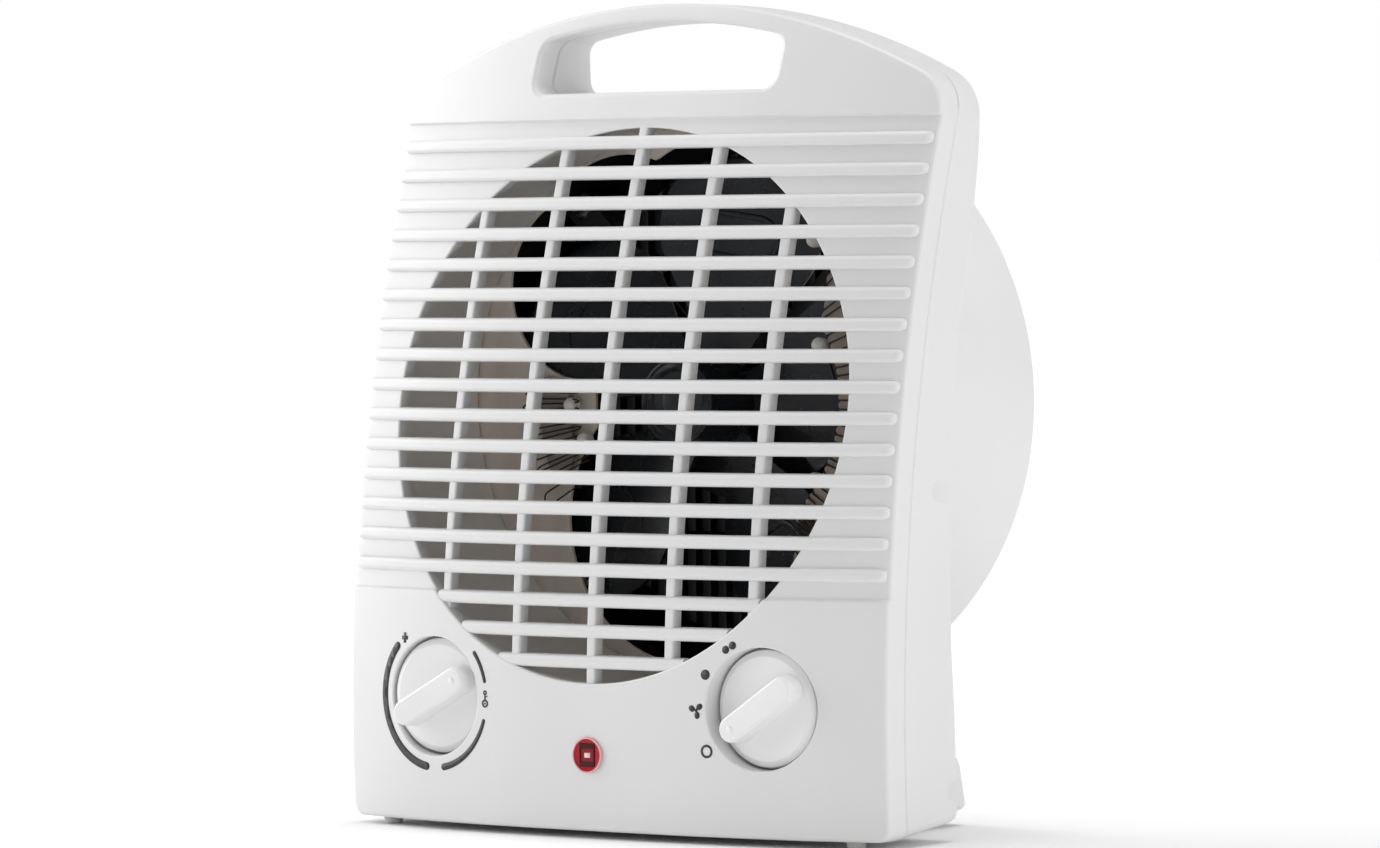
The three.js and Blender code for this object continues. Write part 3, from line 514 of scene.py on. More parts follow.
SLOT_FINISH = {
    "white_plastic": ABS, "black_plastic": DARK, "fan_plastic": FAN, "sheet_steel": ZINC,
    "bare_steel": STEEL, "laminated_steel": LAMINATED, "copper_winding": COPPER, "mica_board": MICA,
    "resistance_wire": WIRE, "ceramic_white": CERAMIC, "brass_parts": BRASS, "red_lens": RED,
    "clear_glass": GLASS, "rubber_parts": RUBBER, "pale_rubber": PALE_RUBBER,
}
for entry in frame["record"]["subparts"]:
    cad = frame["nodes"][entry["node"]]
    if not cad.data.materials:
        cad.data.materials.append(None)
    for place in range(len(cad.data.materials)):
        cad.data.materials[place] = SLOT_FINISH[entry["material_slot"]]
# The motor's can and bracket are shown near black, unlike the other sheet steel: painted shade that
# darkens the view behind the fan.
for name in ("motor_bracket", "motor_housing"):
    frame["nodes"][name].data.materials[0] = SHADE_DARK_STEEL

# ------------------------------------------------------------------ front cover


def casing_outline():
    """Front view of the casing, shared by both covers."""
    return arched(HALF_WIDTH, 0, 4, 16, ARCH_RADIUS)


def handle_outline():
    """The handle opening, under an arch that keeps its distance from the casing's."""
    return arched(46.8, 230, 5, 5, ARCH_RADIUS - 5.8, 3.0)[::-1]


def well_depth(y):
    """Depth behind the bowed face of a level at y."""
    return lambda x, z: y - face_y(x, z)


def front_cover():
    """Bowed face with the outlet, the handle opening, two knob wells and the lamp hole."""
    rim_edge = [(0, RIM - 0.35), (0.35, RIM), (2.0, RIM), (2.4, RIM - 0.4), (2.4, 3.2)]
    outlet = circle(0, AXIS_Z, OUTLET_RADIUS, 200)[::-1]
    loops = [
        (casing_outline(), fillet(1.3) + rim_edge),
        (handle_outline(), fillet(1.5) + rim_edge),
        (outlet, fillet(0.7, 4) + [(0, 5.3), (0.4, 5.7), (1.6, 5.7), (2.0, 5.3), (2.0, 3.2)]),
        (circle(0, LAMP_Z, 5.0, 40)[::-1], [(0, 0), (0, 3.2)]),
    ]
    for side in (-1, 1):
        well = circle(side * KNOB_X, KNOB_Z, WELL_RADIUS, 96)[::-1]
        wall = [(0, well_depth(WELL_FLOOR - 0.9)), (-0.3, well_depth(WELL_FLOOR - 0.25)),
                (-0.9, well_depth(WELL_FLOOR)), (-14.5, well_depth(WELL_FLOOR)),
                (-14.5, well_depth(13.2)), (2.0, well_depth(13.2)), (2.0, 3.2)]
        loops.append((well, fillet(0.5, 4) + wall))
    verts, faces = plate(loops, 7.0)
    bm = bmesh.new()
    points = [bm.verts.new(v) for v in verts]
    for face in faces:
        if len(set(face)) > 2:
            try:
                bm.faces.new([points[i] for i in face])
            except ValueError:
                continue
    bmesh.ops.remove_doubles(bm, verts=bm.verts, dist=2e-3)
    for edge in BAND:
        for step in (-0.5, -0.3, -0.12, 0.12, 0.3, 0.5):
            bmesh.ops.bisect_plane(bm, geom=bm.verts[:] + bm.edges[:] + bm.faces[:],
                                   plane_co=(0, 0, edge + step), plane_no=(0, 0, 1))
    for v in bm.verts:
        x, depth, z = v.co
        band = smooth((z - BAND[0] + 0.5) / 1.0) * smooth((BAND[1] + 0.5 - z) / 1.0)
        v.co.y = face_y(x, z) + depth + BAND_DEPTH * band * max(0.0, 1 - depth / RIM)
    bm.verts.index_update()
    whole = Parts()
    whole.add(([tuple(v.co) for v in bm.verts], [[v.index for v in f.verts] for f in bm.faces]))
    bm.free()
    for i in range(18):
        whole.add(level_bar(BAR_TOP_Z - i * BAR_PITCH, i < 15))
    for i in range(-2, 3):
        whole.add(post(i * POST_PITCH))
    whole.put("casing_front", ABS, stands_for=("front_cover",))


def level_bar(z0, full):
    """One bar: a rounded section that follows the bow, with round ends on the face."""
    half = 102.3 if full else math.sqrt((OUTLET_RADIUS + 2.0) ** 2 - (z0 - AXIS_Z) ** 2)
    taper = 2.4
    section = (corner(0.6, 0.8, 1.4, -90, -8, 6) + corner(1.9, 2.3, 0.3, 0, 90, 2)
               + corner(-1.9, 2.3, 0.3, 90, 180, 2) + corner(-0.6, 0.8, 1.4, 188, 270, 6))
    stations = list(np.linspace(-half + taper, half - taper, 58))
    if full:
        tip = [half - taper + taper * math.sin(math.radians(a)) for a in (18, 36, 54, 70, 82, 89)]
        stations = [-t for t in tip[::-1]] + stations + tip
    rings = []
    for x in stations:
        t = max(0.0, (abs(x) - (half - taper)) / taper)
        size = math.sqrt(max(0.0, 1 - t * t))
        ring = []
        for dz, depth in section:
            if full:
                front_part = depth < 1.2
                sunk = depth + (BAND_DEPTH + 0.7 - depth) * (1 - size) * front_part
            else:
                sunk = depth + 0.8
            z = z0 + dz * (0.25 + 0.75 * size)
            ring.append((x, face_y(x, z) + sunk, z))
        rings.append(ring)
    return loft(rings)


def post(x0):
    """One upright post behind the bars."""
    half = math.sqrt((OUTLET_RADIUS + 1.0) ** 2 - x0 * x0)
    section = (corner(1.0, 1.9, 0.6, -90, 0, 3) + corner(1.4, 5.3, 0.3, 0, 90, 2)
               + corner(-1.4, 5.3, 0.3, 90, 180, 2) + corner(-1.0, 1.9, 0.6, 180, 270, 3))
    rings = []
    for z in np.linspace(AXIS_Z - half, AXIS_Z + half, 48):
        rings.append([(x0 + dx, face_y(x0 + dx, z) + depth, z) for dx, depth in section])
    return loft(rings)


front_cover()

# ------------------------------------------------------------------ rear cover


def to_metres(points):
    """Points in millimetres, given in metres."""
    return [tuple(c / 1000 for c in p) for p in points]


def rear_cover():
    """Rear half of the casing with its screw recesses, the drum's wall, and the plinth."""
    def seam(extra):
        return lambda x, z: face_y(x, z) + RIM + SEAM + extra

    def back(extra):
        return lambda x, z: rear_y(z) - extra

    def edge(r):
        return [(inset, back(depth)) for inset, depth in reversed(fillet(r, 7))]

    start = [(0.35, seam(0)), (0, seam(0.35))]
    hollow = circle(0, AXIS_Z, DRUM_RADIUS - 1.2, 160)[::-1]
    verts, faces = plate([(casing_outline(), start + edge(4.0)),
                          (handle_outline(), start + edge(1.6)),
                          (hollow, [(0, seam(0)), (0, back(0))])], 8.0)
    body = clean_mesh("block", to_metres(verts), faces, True)
    holes = Parts()
    for x, z, access, radius in SCREW_SITES:
        seat = face_y(x, z) + RIM + 9
        for side in (-1, 1):
            flare = [(radius * wide, access + deep) for wide, deep in
                     ((0.87, 0.01), (0.93, 0.4), (1.02, 1.6), (1.09, 3.6), (1.12, 6.0))]
            holes.add(turned([(0, seat), (3.4, seat), (3.4, access)] + flare
                             + [(radius * 1.12, 125), (0, 125)], side * x, z, 40))
    block = bpy.data.objects.new("block", body)
    cutter = bpy.data.objects.new(
        "holes", clean_mesh("holes", to_metres(holes.verts), holes.faces, False))
    for obj in (block, cutter):
        bpy.context.scene.collection.objects.link(obj)
    cut = block.modifiers.new("cut", "BOOLEAN")
    cut.operation, cut.solver, cut.object = "DIFFERENCE", "EXACT", cutter
    bpy.context.view_layer.update()
    settled = block.evaluated_get(bpy.context.evaluated_depsgraph_get())
    result = bpy.data.meshes.new_from_object(settled)
    whole = Parts()
    raised = []
    for v in result.vertices:
        x, y, z = v.co * 1000
        rise = UNDERSIDE_SLOPE * max(0.0, y - UNDERSIDE_START) * max(0.0, 1 - z / UNDERSIDE_REACH)
        raised.append((x, y, z + rise))
    whole.add((raised, [list(p.vertices) for p in result.polygons]))
    for obj in (block, cutter):
        bpy.data.objects.remove(obj)
    drum = ([(DRUM_RADIUS - 2.4, 47), (DRUM_RADIUS, 47)]
            + [(DRUM_RADIUS - 2 + r, DRUM_BACK - 2 + y) for r, y in corner(0, 0, 2, 0, 90, 6)]
            + [(DRUM_RADIUS - 5.2, DRUM_BACK), (DRUM_RADIUS - 5.5, DRUM_BACK - 0.3),
               (DRUM_RADIUS - 5.5, 105.6), (DRUM_RADIUS - 2.4, 105.6)])
    whole.add(ring_of(drum, 0, AXIS_Z, 220))
    plinth = [[(x, y, z) for x, y in rounded_box(inset - 75, 75 - inset, 40, 103 - inset, 6, 8)]
              for z, inset in ((2.0, 3.2), (2.2, 2.0), (2.9, 0.8), (4.2, 0.0), (16.5, 1.2),
                               (18.6, 1.8), (20.2, 3.0), (21.2, 4.6), (21.6, 6.2))]
    whole.add(loft(plinth))
    for side in (-1, 1):
        pad = rounded_box(side * 52 - 6, side * 52 + 6, 86, 98, 3)
        whole.add(prism(pad, 0, 3.5, 0.6, 3))
    whole.put("casing_rear", ABS, stands_for=("rear_cover",))


rear_cover()

# ------------------------------------------------------------------ knobs, marks and lamp


def knob(name, side, pointer, node, body):
    """Disc with a bevelled rim, a tapered grip bar and a small raised dot on its pointer end."""
    shape = Parts()
    rim = [(0, 6.3), (15.9, 6.3), (16.2, 6.4), (17.8, 7.35), (18.05, 7.65), (18.1, 8.0),
           (18.1, 10.2), (17.9, 10.4), (4.1, 10.4), (4.1, 13.0), (0, 13.0)]
    shape.add(turned(rim, 0, 0, 128))
    rings = []
    levels = [(4.75, 15.8, 6.8), (4.6, 15.65, 6.1), (4.15, 15.35, 1.3), (4.0, 15.2, 0.6),
              (3.65, 14.85, 0.1), (3.15, 14.35, -0.1)]
    for half_width, half_length, y in levels:
        outline = (corner(half_length - half_width, 0, half_width, -90, 90, 16)
                   + corner(half_width - half_length, 0, half_width, 90, 270, 16))
        rings.append([(x, y, z) for x, z in outline])
    shape.add(loft(rings))
    dome = [(1.15 * math.sin(math.radians(a)), -0.08 - 0.4 * math.cos(math.radians(a)))
            for a in (20, 40, 60, 80, 90)]
    shape.add(turned([(0, -0.48)] + dome + [(1.3, 0.1), (0, 0.1)], 11.0, 0, 24))
    placed = moved((shape.verts, shape.faces), turn=pointer - 90, to=(side * KNOB_X, 0, KNOB_Z))
    put(name, *placed, ABS_KNOB, body=body, stands_for=(node,), weld=False)


knob("thermostat_grip", -1, 61, "thermostat_knob", "thermostat_knob")
knob("selector_grip", 1, 236, "selector_knob", "selector_knob")


def on_face(loop_list, proud=0.035, spacing=1.5):
    """Flat printed figure laid on the bowed face."""
    points, triangles = filled(loop_list, spacing)
    front = [(x, face_y(x, z) - proud, z) for x, z in points]
    return front, triangles


def clock(side, radius, degrees):
    """A point round a knob; degrees run clockwise from the top as seen from the front."""
    a = math.radians(degrees)
    return side * KNOB_X + radius * math.sin(a), KNOB_Z + radius * math.cos(a)


def arc_mark(side, radius, start, end, wide_start, wide_end, n=40):
    """A curved bar with round ends, its width running from one value to the other."""
    outer, inner = [], []
    for k in range(n + 1):
        t = k / n
        half = (wide_start + (wide_end - wide_start) * t) / 2
        angle = start + (end - start) * t
        outer.append(clock(side, radius + half, angle))
        inner.append(clock(side, radius - half, angle))
    loop = outer
    for angle, width, sense in ((end, wide_end, 1), (start, wide_start, -1)):
        cx, cz = clock(side, radius, angle)
        a0 = math.radians(90 - angle)
        way = (1 if end > start else -1) * sense
        cap = [(cx + width / 2 * math.cos(a0 - way * math.radians(b)),
                cz + width / 2 * math.sin(a0 - way * math.radians(b)))
               for b in (30, 60, 90, 120, 150)]
        if sense == 1:
            loop = loop + cap + inner[::-1]
        else:
            loop = loop + cap[::-1]
    return tidy(loop)


def thermostat_marks(marks):
    """A plus, three bars that curve round the knob, and a small upright figure."""
    px, pz = clock(-1, 22.4, 323.5)
    wide, tall, thick = 1.4, 1.65, 0.6
    plus = ((thick, thick), (wide, thick), (wide, -thick), (thick, -thick), (thick, -tall),
            (-thick, -tall), (-thick, -thick), (-wide, -thick), (-wide, thick), (-thick, thick),
            (-thick, tall), (thick, tall))
    marks.add(on_face([[(px + a, pz + b) for a, b in plus]]))
    for start, end, wide_start, wide_end in (
            (312.5, 189, 2.6, 2.6), (169.5, 108, 2.2, 1.3), (76, 51, 1.2, 1.4)):
        marks.add(on_face([arc_mark(-1, 22.65, start, end, wide_start, wide_end)]))
    fx, fz = clock(-1, 22.2, 90)
    marks.add(on_face([circle(fx, fz - 1.5, 1.3, 28), circle(fx, fz - 1.5, 0.68, 24)]))
    marks.add(on_face([circle(fx, fz - 1.5, 0.34, 16)]))
    marks.add(on_face([[(fx + a, fz + b) for a, b in
                        ((-0.28, -0.4), (0.28, -0.4), (0.28, 1.5), (-0.28, 1.5))]]))
    marks.add(on_face([circle(fx, fz + 1.9, 0.75, 20), circle(fx, fz + 1.9, 0.26, 14)]))
    marks.add(on_face([[(fx + a, fz + b) for a, b in
                        ((0.1, 0.3), (1.1, 0.75), (1.0, 1.05), (0.1, 0.65))]]))


def selector_marks(marks):
    """A ring for off, a fan, one dot and a pair of dots."""
    for radius, angle, size in ((21.6, 326.5, 1.25), (21.6, 333.7, 1.25), (21.6, 298.2, 1.6)):
        cx, cz = clock(1, radius, angle)
        marks.add(on_face([circle(cx, cz, size, 32)]))
    cx, cz = clock(1, 22.9, 234.4)
    marks.add(on_face([circle(cx, cz, 2.1, 36), circle(cx, cz, 1.35, 30)]))
    cx, cz = clock(1, 22.3, 268)
    for k in range(3):
        a = math.radians(-90 + 120 * k)
        along, across = (math.cos(a), math.sin(a)), (-math.sin(a), math.cos(a))
        blade = [(1.55 + 1.15 * math.cos(t), 0.35 + 0.95 * math.sin(t))
                 for t in np.linspace(0, 2 * math.pi, 20, endpoint=False)]
        marks.add(on_face([[(cx + u * along[0] + v * across[0], cz + u * along[1] + v * across[1])
                            for u, v in blade]], proud=0.035 + 0.004 * k))
    marks.add(on_face([circle(cx, cz, 0.55, 16)], proud=0.05))


def printed_marks():
    """Thin printed figures round both knobs."""
    marks = Parts()
    thermostat_marks(marks)
    selector_marks(marks)
    obj = marks.put("printed_marks", INK, weighted=False)
    sheet = obj.modifiers.new("thickness", "SOLIDIFY")
    sheet.thickness = 0.00006
    sheet.offset = 0


printed_marks()


def lamp():
    """Red lens: a thin pale rim, the lens's edge with a painted highlight, round a dish with a dark
    moulded frame, a deep field and a core.
    """
    # The rim's shape is the lens's edge; its pale pink is a painted highlight.
    rim = ([(5.6, -0.2)] + [(5.35 + r, -0.6 + y) for r, y in corner(0, 0, 0.25, 0, -90, 4)]
           + [(5.2, -0.85), (5.1, -0.7), (5.05, -0.1), (5.6, -0.1)])
    Parts().add(ring_of(rim, 0, LAMP_Z, 64)).put("lamp_rim_highlight", RED_RIM_HIGHLIGHT, slot="red_lens")
    dish = [(0, -0.35), (4.2, -0.35), (5.1, -0.55), (5.1, -0.15), (4.8, -0.1), (4.8, 6.5), (0, 6.5)]
    Parts().add(turned(dish, 0, LAMP_Z, 64)).put("lamp_dish", RED, slot="red_lens",
                                                 stands_for=("pilot_lamp_lens",))
    blocks = (
        ("lamp_facet", RED_DARK, ((2.95, 3.75, -0.3), (2.85, 3.65, -0.62), (2.45, 2.1, -0.62),
                                  (2.35, 1.95, -0.25))),
        ("lamp_field", RED_DEEP, ((2.3, 1.9, -0.3), (2.2, 1.8, -0.4))),
        ("lamp_core", LAMP_CORE, ((1.15, 0.8, -0.36), (0.85, 0.6, -0.66), (0.6, 0.4, -0.72))),
    )
    for name, finish, levels in blocks:
        rings = [[(sx * wide, y, LAMP_Z + sz * tall)
                  for sx, sz in ((-1, -1), (1, -1), (1, 1), (-1, 1))] for wide, tall, y in levels]
        Parts().add(loft(rings)).put(name, finish, slot="red_lens")


lamp()

# ------------------------------------------------------------------ duct and heating element


def duct():
    """Sheet-metal sleeve whose front edge follows the bow and whose back edge has a flange."""
    segments = 180
    rings = []
    for wall, depth in ((0, 6.3), (0.5, 6.05), (1, 6.3)):
        rings.append([(x, face_y(x, z) + depth, z)
                      for x, z in circle(0, AXIS_Z, DUCT_RADIUS + wall, segments)])
    for wall, y in ((1, 58.5), (4.6, 59.6), (4.6, 60.0), (0.6, 60.0), (0, 59.2)):
        rings.append([(x, y, z) for x, z in circle(0, AXIS_Z, DUCT_RADIUS + wall, segments)])
    Parts().add(loft(rings, loop=True)).put("duct_sleeve", DUCT, stands_for=("heat_shield_duct",),
                                            slot="sheet_steel")


duct()


# x, height above the outlet's centre and radius of the discs that make up the air opening
OPENINGS = ((0, 0, 40.3), (-44, 36, 30), (-28, 42, 36.5), (8, 40, 43.5), (-6, -38.5, 45.2),
            (10, 1, 45.5))


def opening_reach(a):
    """Radius of the air opening in direction a, in radians."""
    reach = 0.0
    for cx, cz, r in OPENINGS:
        along = cx * math.cos(a) + cz * math.sin(a)
        square = along * along - cx * cx - cz * cz + r * r
        if square > 0:
            reach = max(reach, along + math.sqrt(square))
    return reach


def baffle():
    """Plate behind the element, its air openings run together round the throat."""
    directions = [2 * math.pi * k / 360 for k in range(360)]
    outline = [(opening_reach(a) * math.cos(a), AXIS_Z + opening_reach(a) * math.sin(a))
               for a in directions]
    opening = resampled(outline[::-1], 2.0)
    outer = circle(0, AXIS_Z, 91.8, 160)
    lip = [(0, BAFFLE_Y), (0, BAFFLE_Y + 1.2)]
    opening_lip = [(0.5, BAFFLE_Y), (0.1, BAFFLE_Y + 0.15), (0, BAFFLE_Y + 0.5),
                   (0, BAFFLE_Y + 1.2)]
    shape = plate([(outer, lip), (opening, opening_lip)], 9.0)
    put("baffle_plate", *shape, BAFFLE, stands_for=("element_baffle",), slot="sheet_steel")


baffle()


def board_edge(inner, degrees):
    """Radius of a mica board's inner edge, which keeps clear of the air openings."""
    return max(inner, opening_reach(math.radians(degrees)) + 0.3)


def mica(name, node, inner, outer, start, end, lobes):
    """Mica board whose inner edge has round lobes, with a notch for the wire between each two."""
    loop = []
    for k in range(lobes * 10 + 1):
        t = k / (lobes * 10)
        degrees = start + (end - start) * t
        a = math.radians(degrees)
        r = board_edge(inner, degrees) + 1.1 * (1 - abs(math.sin(math.pi * lobes * t)) ** 0.7)
        loop.append((r * math.cos(a), AXIS_Z + r * math.sin(a)))
    loop = loop[::-1]
    for k in range(49):
        a = math.radians(start + (end - start) * k / 48)
        loop.append((outer * math.cos(a), AXIS_Z + outer * math.sin(a)))
    area = sum(loop[i - 1][0] * loop[i][1] - loop[i][0] * loop[i - 1][1] for i in range(len(loop)))
    loop = loop if area > 0 else loop[::-1]
    edge = [(0.15, 57.5), (0, 57.65), (0, 58.15), (0.15, 58.3)]
    put(name, *plate([(loop, edge)], 8.0), MICA, stands_for=(node,), slot="mica_board")


mica("mica_board_left", "element_mica_left", 48.5, 61, 173, 205, 11)
mica("mica_board_right", "element_mica_right", 53, 72, -58, 43, 38)


def legs(start, end, count, inner, outer, behind=True):
    """Wire led to and fro over a board: straight radial legs with round turns outside. Behind,
    each leg is hooked through a notch of the board's inner edge."""
    points = []
    step = (end - start) / (count - 1)
    for i in range(count):
        angle = start + i * step
        near = board_edge(inner, angle) if behind else inner
        far = outer + 1.1 * math.sin(i * 1.7)
        drift = 0.12 * step * math.sin(i * 2.4)
        if behind:
            hook = [(near + 2.2, 59.0, 0.0), (near + 0.6, 58.8, 0.0), (near + 0.1, 57.9, 0.0),
                    (near + 0.6, 57.0, 0.0)]
        else:
            hook = [(near, 56.8, -0.45), (near + 0.3, 56.8, -0.2)]
        line = hook + [(near + 3, 56.8, 0.0), ((near + far) / 2, 56.5, 0.0), (far - 2, 56.2, 0.0),
                       (far - 0.4, 56.1, 0.15), (far, 56.1, 0.42)]
        if i % 2:
            line = [(r, y, -share) for r, y, share in reversed(line)]
        for r, y, share in line:
            a = math.radians(angle + share * step + drift)
            points.append((r * math.cos(a), y, AXIS_Z + r * math.sin(a)))
    return points


def wire(name, node, strands):
    """Fine resistance wire in one or more strands."""
    curve = bpy.data.curves.new(name, "CURVE")
    curve.dimensions = "3D"
    curve.bevel_depth = 0.00028
    curve.bevel_resolution = 2
    ox, oy, oz = ORIGIN
    for points in strands:
        spline = curve.splines.new("NURBS")
        spline.points.add(len(points) - 1)
        for target, (x, y, z) in zip(spline.points, points):
            target.co = ((x + ox) / 1000, (y + oy) / 1000, (z + oz) / 1000, 1)
        spline.order_u = 3
        spline.use_endpoint_u = True
    obj = bpy.data.objects.new(name, curve)
    bpy.context.scene.collection.objects.link(obj)
    curve.materials.append(WIRE)
    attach(obj, "housing")
    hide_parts(node)


wire("hairpins_left", "heating_wire_left",
     [legs(174, 205, 18, 44.5, 65.5, False), legs(207.5, 211, 2, 52.0, 66.0, False)])
wire("hairpins_right", "heating_wire_right",
     [legs(-58, 43, 39, 53.0, 69.5), legs(-46, -36, 14, 55.0, 66.0, False)])


def insulator(index, place):
    """Domed ceramic bead."""
    x, z = place
    profile = [(0, 55.0), (0.7, 55.1), (1.4, 55.4), (2.0, 56.0), (2.35, 56.8), (2.4, 57.6),
               (2.3, 59.7), (2.0, 60.0), (0, 60.0)]
    Parts().add(turned(profile, x, AXIS_Z + z, 36)).put(
        f"bead_{index}", CERAMIC, stands_for=(f"ceramic_insulator_{index}",), slot="ceramic_white")


for number, spot in enumerate(INSULATORS, 1):
    insulator(number, spot)

# ------------------------------------------------------------------ fan

FAN_Y = 71.5
FAN_START = 64
FAN_TILT = 17
BLADES = 5
BLADE_ROOT = 12.0
BLADE_SPAN = 65.6
BLADE_WIDEST = 0.62     # share of the span at which a blade is widest
BLADE_CAMBER = -1.8
BLADE_HALF_THICKNESS = 0.7


def blade():
    """One broad cambered blade along +X."""
    rows, columns = 22, 18
    rings = []
    for u in range(rows + 1):
        r = BLADE_ROOT + BLADE_SPAN * u / rows
        share = min(1.0, max(0.0, (r - BLADE_ROOT) / BLADE_SPAN))
        wide = 7.5 + 19.5 * smooth(share / BLADE_WIDEST)
        if share > BLADE_WIDEST:
            wide = 27.0 * math.sqrt(max(0.0, 1 - ((share - BLADE_WIDEST) / 0.385) ** 2.6))
        top, under = [], []
        for v in range(columns + 1):
            s = -1 + 2 * v / columns
            camber = BLADE_CAMBER * (1 - s * s) * share
            top.append((r, camber - BLADE_HALF_THICKNESS, s * wide))
            under.append((r, camber + BLADE_HALF_THICKNESS, s * wide))
        rings.append(top + under[::-1])
    return loft(rings)


def blade_contour():
    """Raised bead round an oblong on the front of a blade."""
    contour = []
    for cx, cz, a0 in ((53.2, 6.4, 0), (52.8, 6.4, 90), (52.8, -6.4, 180), (53.2, -6.4, 270)):
        contour += corner(cx, cz, 6.6, a0, a0 + 90, 6)
    path = []
    for r, z in contour:
        share = (r - BLADE_ROOT) / BLADE_SPAN
        camber = BLADE_CAMBER * (1 - (z / 26.5) ** 2) * share
        path.append(Vector((r, camber - BLADE_HALF_THICKNESS, z)))
    rings = []
    for k, middle in enumerate(path):
        ahead = (path[(k + 1) % len(path)] - path[k - 1]).normalized()
        side = ahead.cross(Vector((0, 1, 0))).normalized()
        rings.append([tuple(middle + side * math.cos(a) + Vector((0, 0.7, 0)) * math.sin(a))
                      for a in np.linspace(0, 2 * math.pi, 8, endpoint=False)])
    return loft(rings, loop=True)


def fan():
    """Five broad pitched blades with a raised contour, on a hub with two ridges in front."""
    whole = Parts()
    hub = [(0, 48.0), (4.5, 48.0), (5.2, 48.3), (5.6, 49.4), (9.6, 49.5), (10.2, 48.6),
           (10.9, 48.2), (11.6, 48.6), (12.4, 48.9), (13.0, 48.4), (13.6, 48.6), (14.0, 49.8),
           (14.0, 79.0), (13.4, 79.6), (3.2, 79.6), (3.2, 76), (0, 76)]
    whole.add(turned(hub, 0, AXIS_Z, 72))
    for i in range(BLADES):
        angle = i * 360 / BLADES + FAN_START
        for shape in (blade(), blade_contour()):
            whole.add(moved(shape, turn=angle, tilt=FAN_TILT, to=(0, FAN_Y, AXIS_Z)))
    whole.put("fan_wheel", FAN, body="fan_rotor", stands_for=("fan_impeller",), slot="fan_plastic")


fan()


LUG_RADIUS = 86


def shroud():
    """Black lining of the drum, with the lugs that carry the motor bracket and the grille."""
    whole = Parts()
    wall = [(92.7, 62.1), (93.0, 61.8), (94.0, 61.8), (94.3, 62.1), (94.3, 101.7), (92.7, 101.7)]
    whole.add(ring_of(wall, 0, AXIS_Z, 180))
    for angle in (45, 135, 225, 315):
        x = LUG_RADIUS * math.cos(math.radians(angle))
        z = AXIS_Z + LUG_RADIUS * math.sin(math.radians(angle))
        whole.add(turned([(0, 83.4), (5.7, 83.4), (6.1, 83.8), (6.1, 101.7), (0, 101.7)], x, z, 32))
    whole.put("drum_lining", DARK, stands_for=("fan_shroud",), slot="black_plastic")


shroud()

# ------------------------------------------------------------------ rear grille


def grille():
    """Upright slats in a ring, tied by four level bars."""
    whole = Parts()
    ring = [(80, 102.3), (80.3, 102), (94.0, 102), (94.3, 102.3), (94.3, 105.3), (80, 105.3)]
    whole.add(ring_of(ring, 0, AXIS_Z, 180))
    slat = corner(1.0, 102.4, 0.4, -90, 0, 3) + corner(1.0, 107.0, 0.4, 0, 90, 3)
    slat += [(-dx, y) for dx, y in reversed(slat)]
    for i in range(-13, 14):
        x = i * 6.0
        half = math.sqrt(82**2 - x * x)
        whole.add(loft([[(x + dx, y, z) for dx, y in slat]
                        for z in (AXIS_Z - half, AXIS_Z, AXIS_Z + half)]))
    for z in (-45, -15, 15, 45):
        half = math.sqrt(81.5**2 - z * z)
        tie = [(dz, 0.4 * (y - 102) + 103) for dz, y in slat]
        whole.add(loft([[(x, y, AXIS_Z + z + dz) for dz, y in tie] for x in (-half, 0, half)]))
    whole.put("intake_grille", DARK, stands_for=("rear_grille",), slot="black_plastic")


grille()

# ------------------------------------------------------------------ stage, light and camera


def sun(name, towards, strength, spread):
    """Soft light from one side, the same all over the floor."""
    data = bpy.data.lights.new(name, "SUN")
    data.energy = strength
    data.angle = math.radians(spread)
    obj = bpy.data.objects.new(name, data)
    bpy.context.scene.collection.objects.link(obj)
    obj.rotation_mode = "QUATERNION"
    obj.rotation_quaternion = Vector(towards).to_track_quat("Z", "Y")


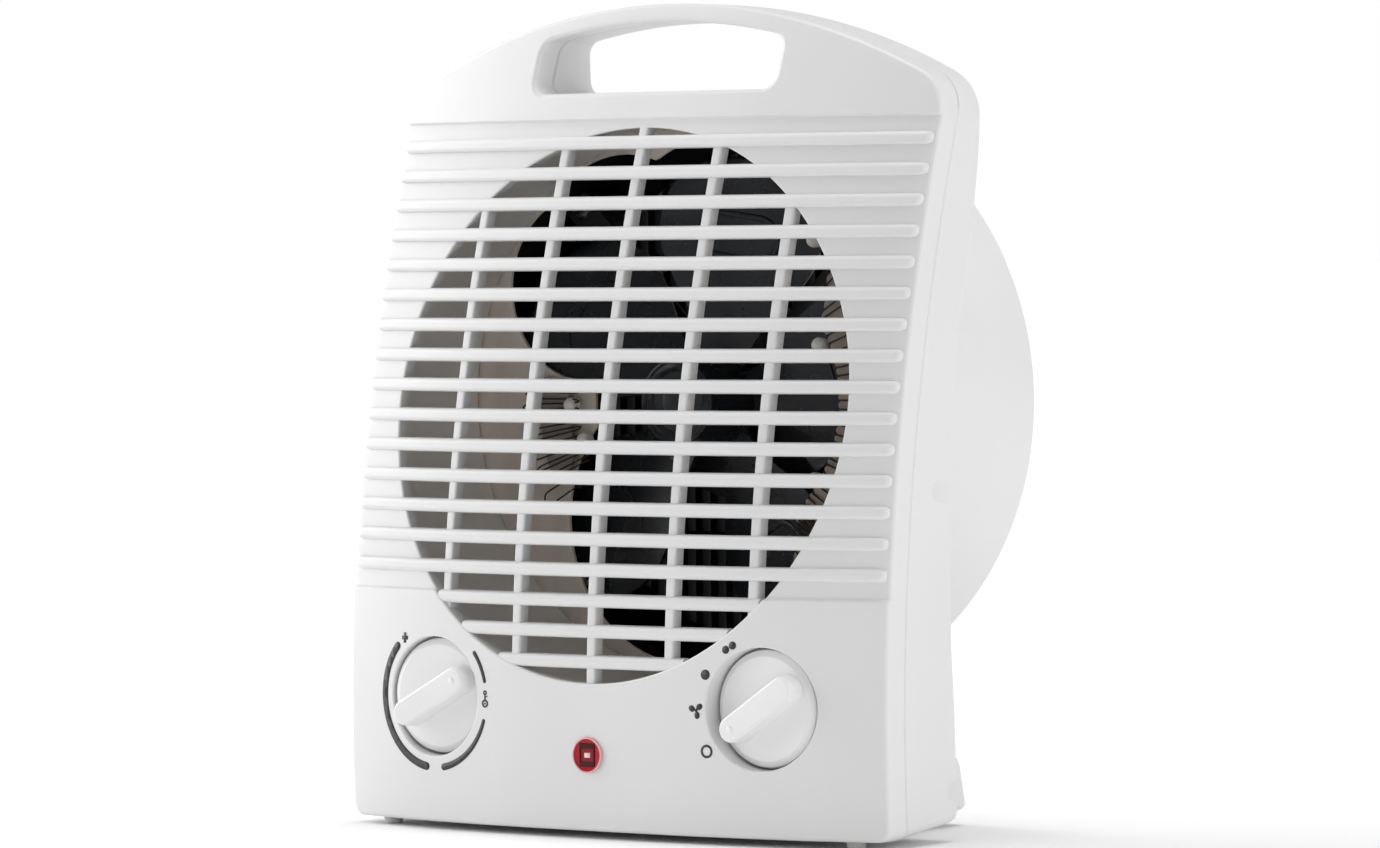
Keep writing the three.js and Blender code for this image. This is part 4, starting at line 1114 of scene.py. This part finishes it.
def stage():
    """White floor, a world that is white to the camera and dimmer as light, and three suns."""
    mesh = bpy.data.meshes.new("floor")
    n = 96
    mesh.from_pydata([(x, y, -0.0002) for x, y in circle(0, 0, 40, n)], [], [list(range(n))])
    obj = bpy.data.objects.new("floor", mesh)
    bpy.context.scene.collection.objects.link(obj)
    white = material("floor_white", (0.93, 0.93, 0.93), 0.9, patch=2, grain=40, bump=0.0)
    mesh.materials.append(white)
    world = bpy.data.worlds.new("studio")
    world.use_nodes = True
    tree = world.node_tree
    backdrop = tree.nodes["Background"]
    backdrop.inputs["Color"].default_value = (1, 1, 1, 1)
    backdrop.inputs["Strength"].default_value = 1.0
    dim = tree.nodes.new("ShaderNodeBackground")
    dim.inputs["Color"].default_value = (1, 1, 1, 1)
    dim.inputs["Strength"].default_value = 0.34
    seen = tree.nodes.new("ShaderNodeLightPath")
    mix = tree.nodes.new("ShaderNodeMixShader")
    tree.links.new(seen.outputs["Is Camera Ray"], mix.inputs[0])
    tree.links.new(dim.outputs[0], mix.inputs[1])
    tree.links.new(backdrop.outputs[0], mix.inputs[2])
    tree.links.new(mix.outputs[0], tree.nodes["World Output"].inputs["Surface"])
    bpy.context.scene.world = world
    sun("top", (0.0, 0.15, 1.0), 1.5, 40)
    sun("key", (-0.98, -0.17, 0.24), 3.5, 66)
    sun("fill", (0.95, 0.15, 0.25), 1.35, 60)


stage()

CAMERA_AIM = (18.579, 30.0, 125.973)    # the point looked at
CAMERA_AZIMUTH = 35.648                 # degrees round from straight ahead, towards +X
CAMERA_ELEVATION = 1.6054               # degrees above the level
CAMERA_ROLL = -0.494                    # degrees
CAMERA_DISTANCE = 2064.8
SENSOR_WIDTH = 36
FOCAL_LENGTH = 172.66


def place_camera():
    """Camera in front and to the right, far off with a long lens."""
    azimuth = math.radians(CAMERA_AZIMUTH)
    elevation = math.radians(CAMERA_ELEVATION)
    roll = math.radians(CAMERA_ROLL)
    away = Vector((-math.sin(azimuth) * math.cos(elevation),
                   math.cos(azimuth) * math.cos(elevation), -math.sin(elevation)))
    level = Vector((math.cos(azimuth), math.sin(azimuth), 0.0))
    upright = level.cross(away)
    right = level * math.cos(roll) + upright * math.sin(roll)
    up = upright * math.cos(roll) - level * math.sin(roll)
    data = bpy.data.cameras.new("camera")
    data.sensor_width, data.lens = SENSOR_WIDTH, FOCAL_LENGTH
    data.clip_start, data.clip_end = 0.05, 60
    camera = bpy.data.objects.new("camera", data)
    bpy.context.scene.collection.objects.link(camera)
    camera.rotation_mode = "QUATERNION"
    camera.rotation_quaternion = Matrix((right, up, -away)).transposed().to_quaternion()
    camera.location = (Vector(CAMERA_AIM) + Vector(ORIGIN) - away * CAMERA_DISTANCE) / 1000
    bpy.context.scene.camera = camera


place_camera()
bpy.context.scene.view_settings.view_transform = "Standard"
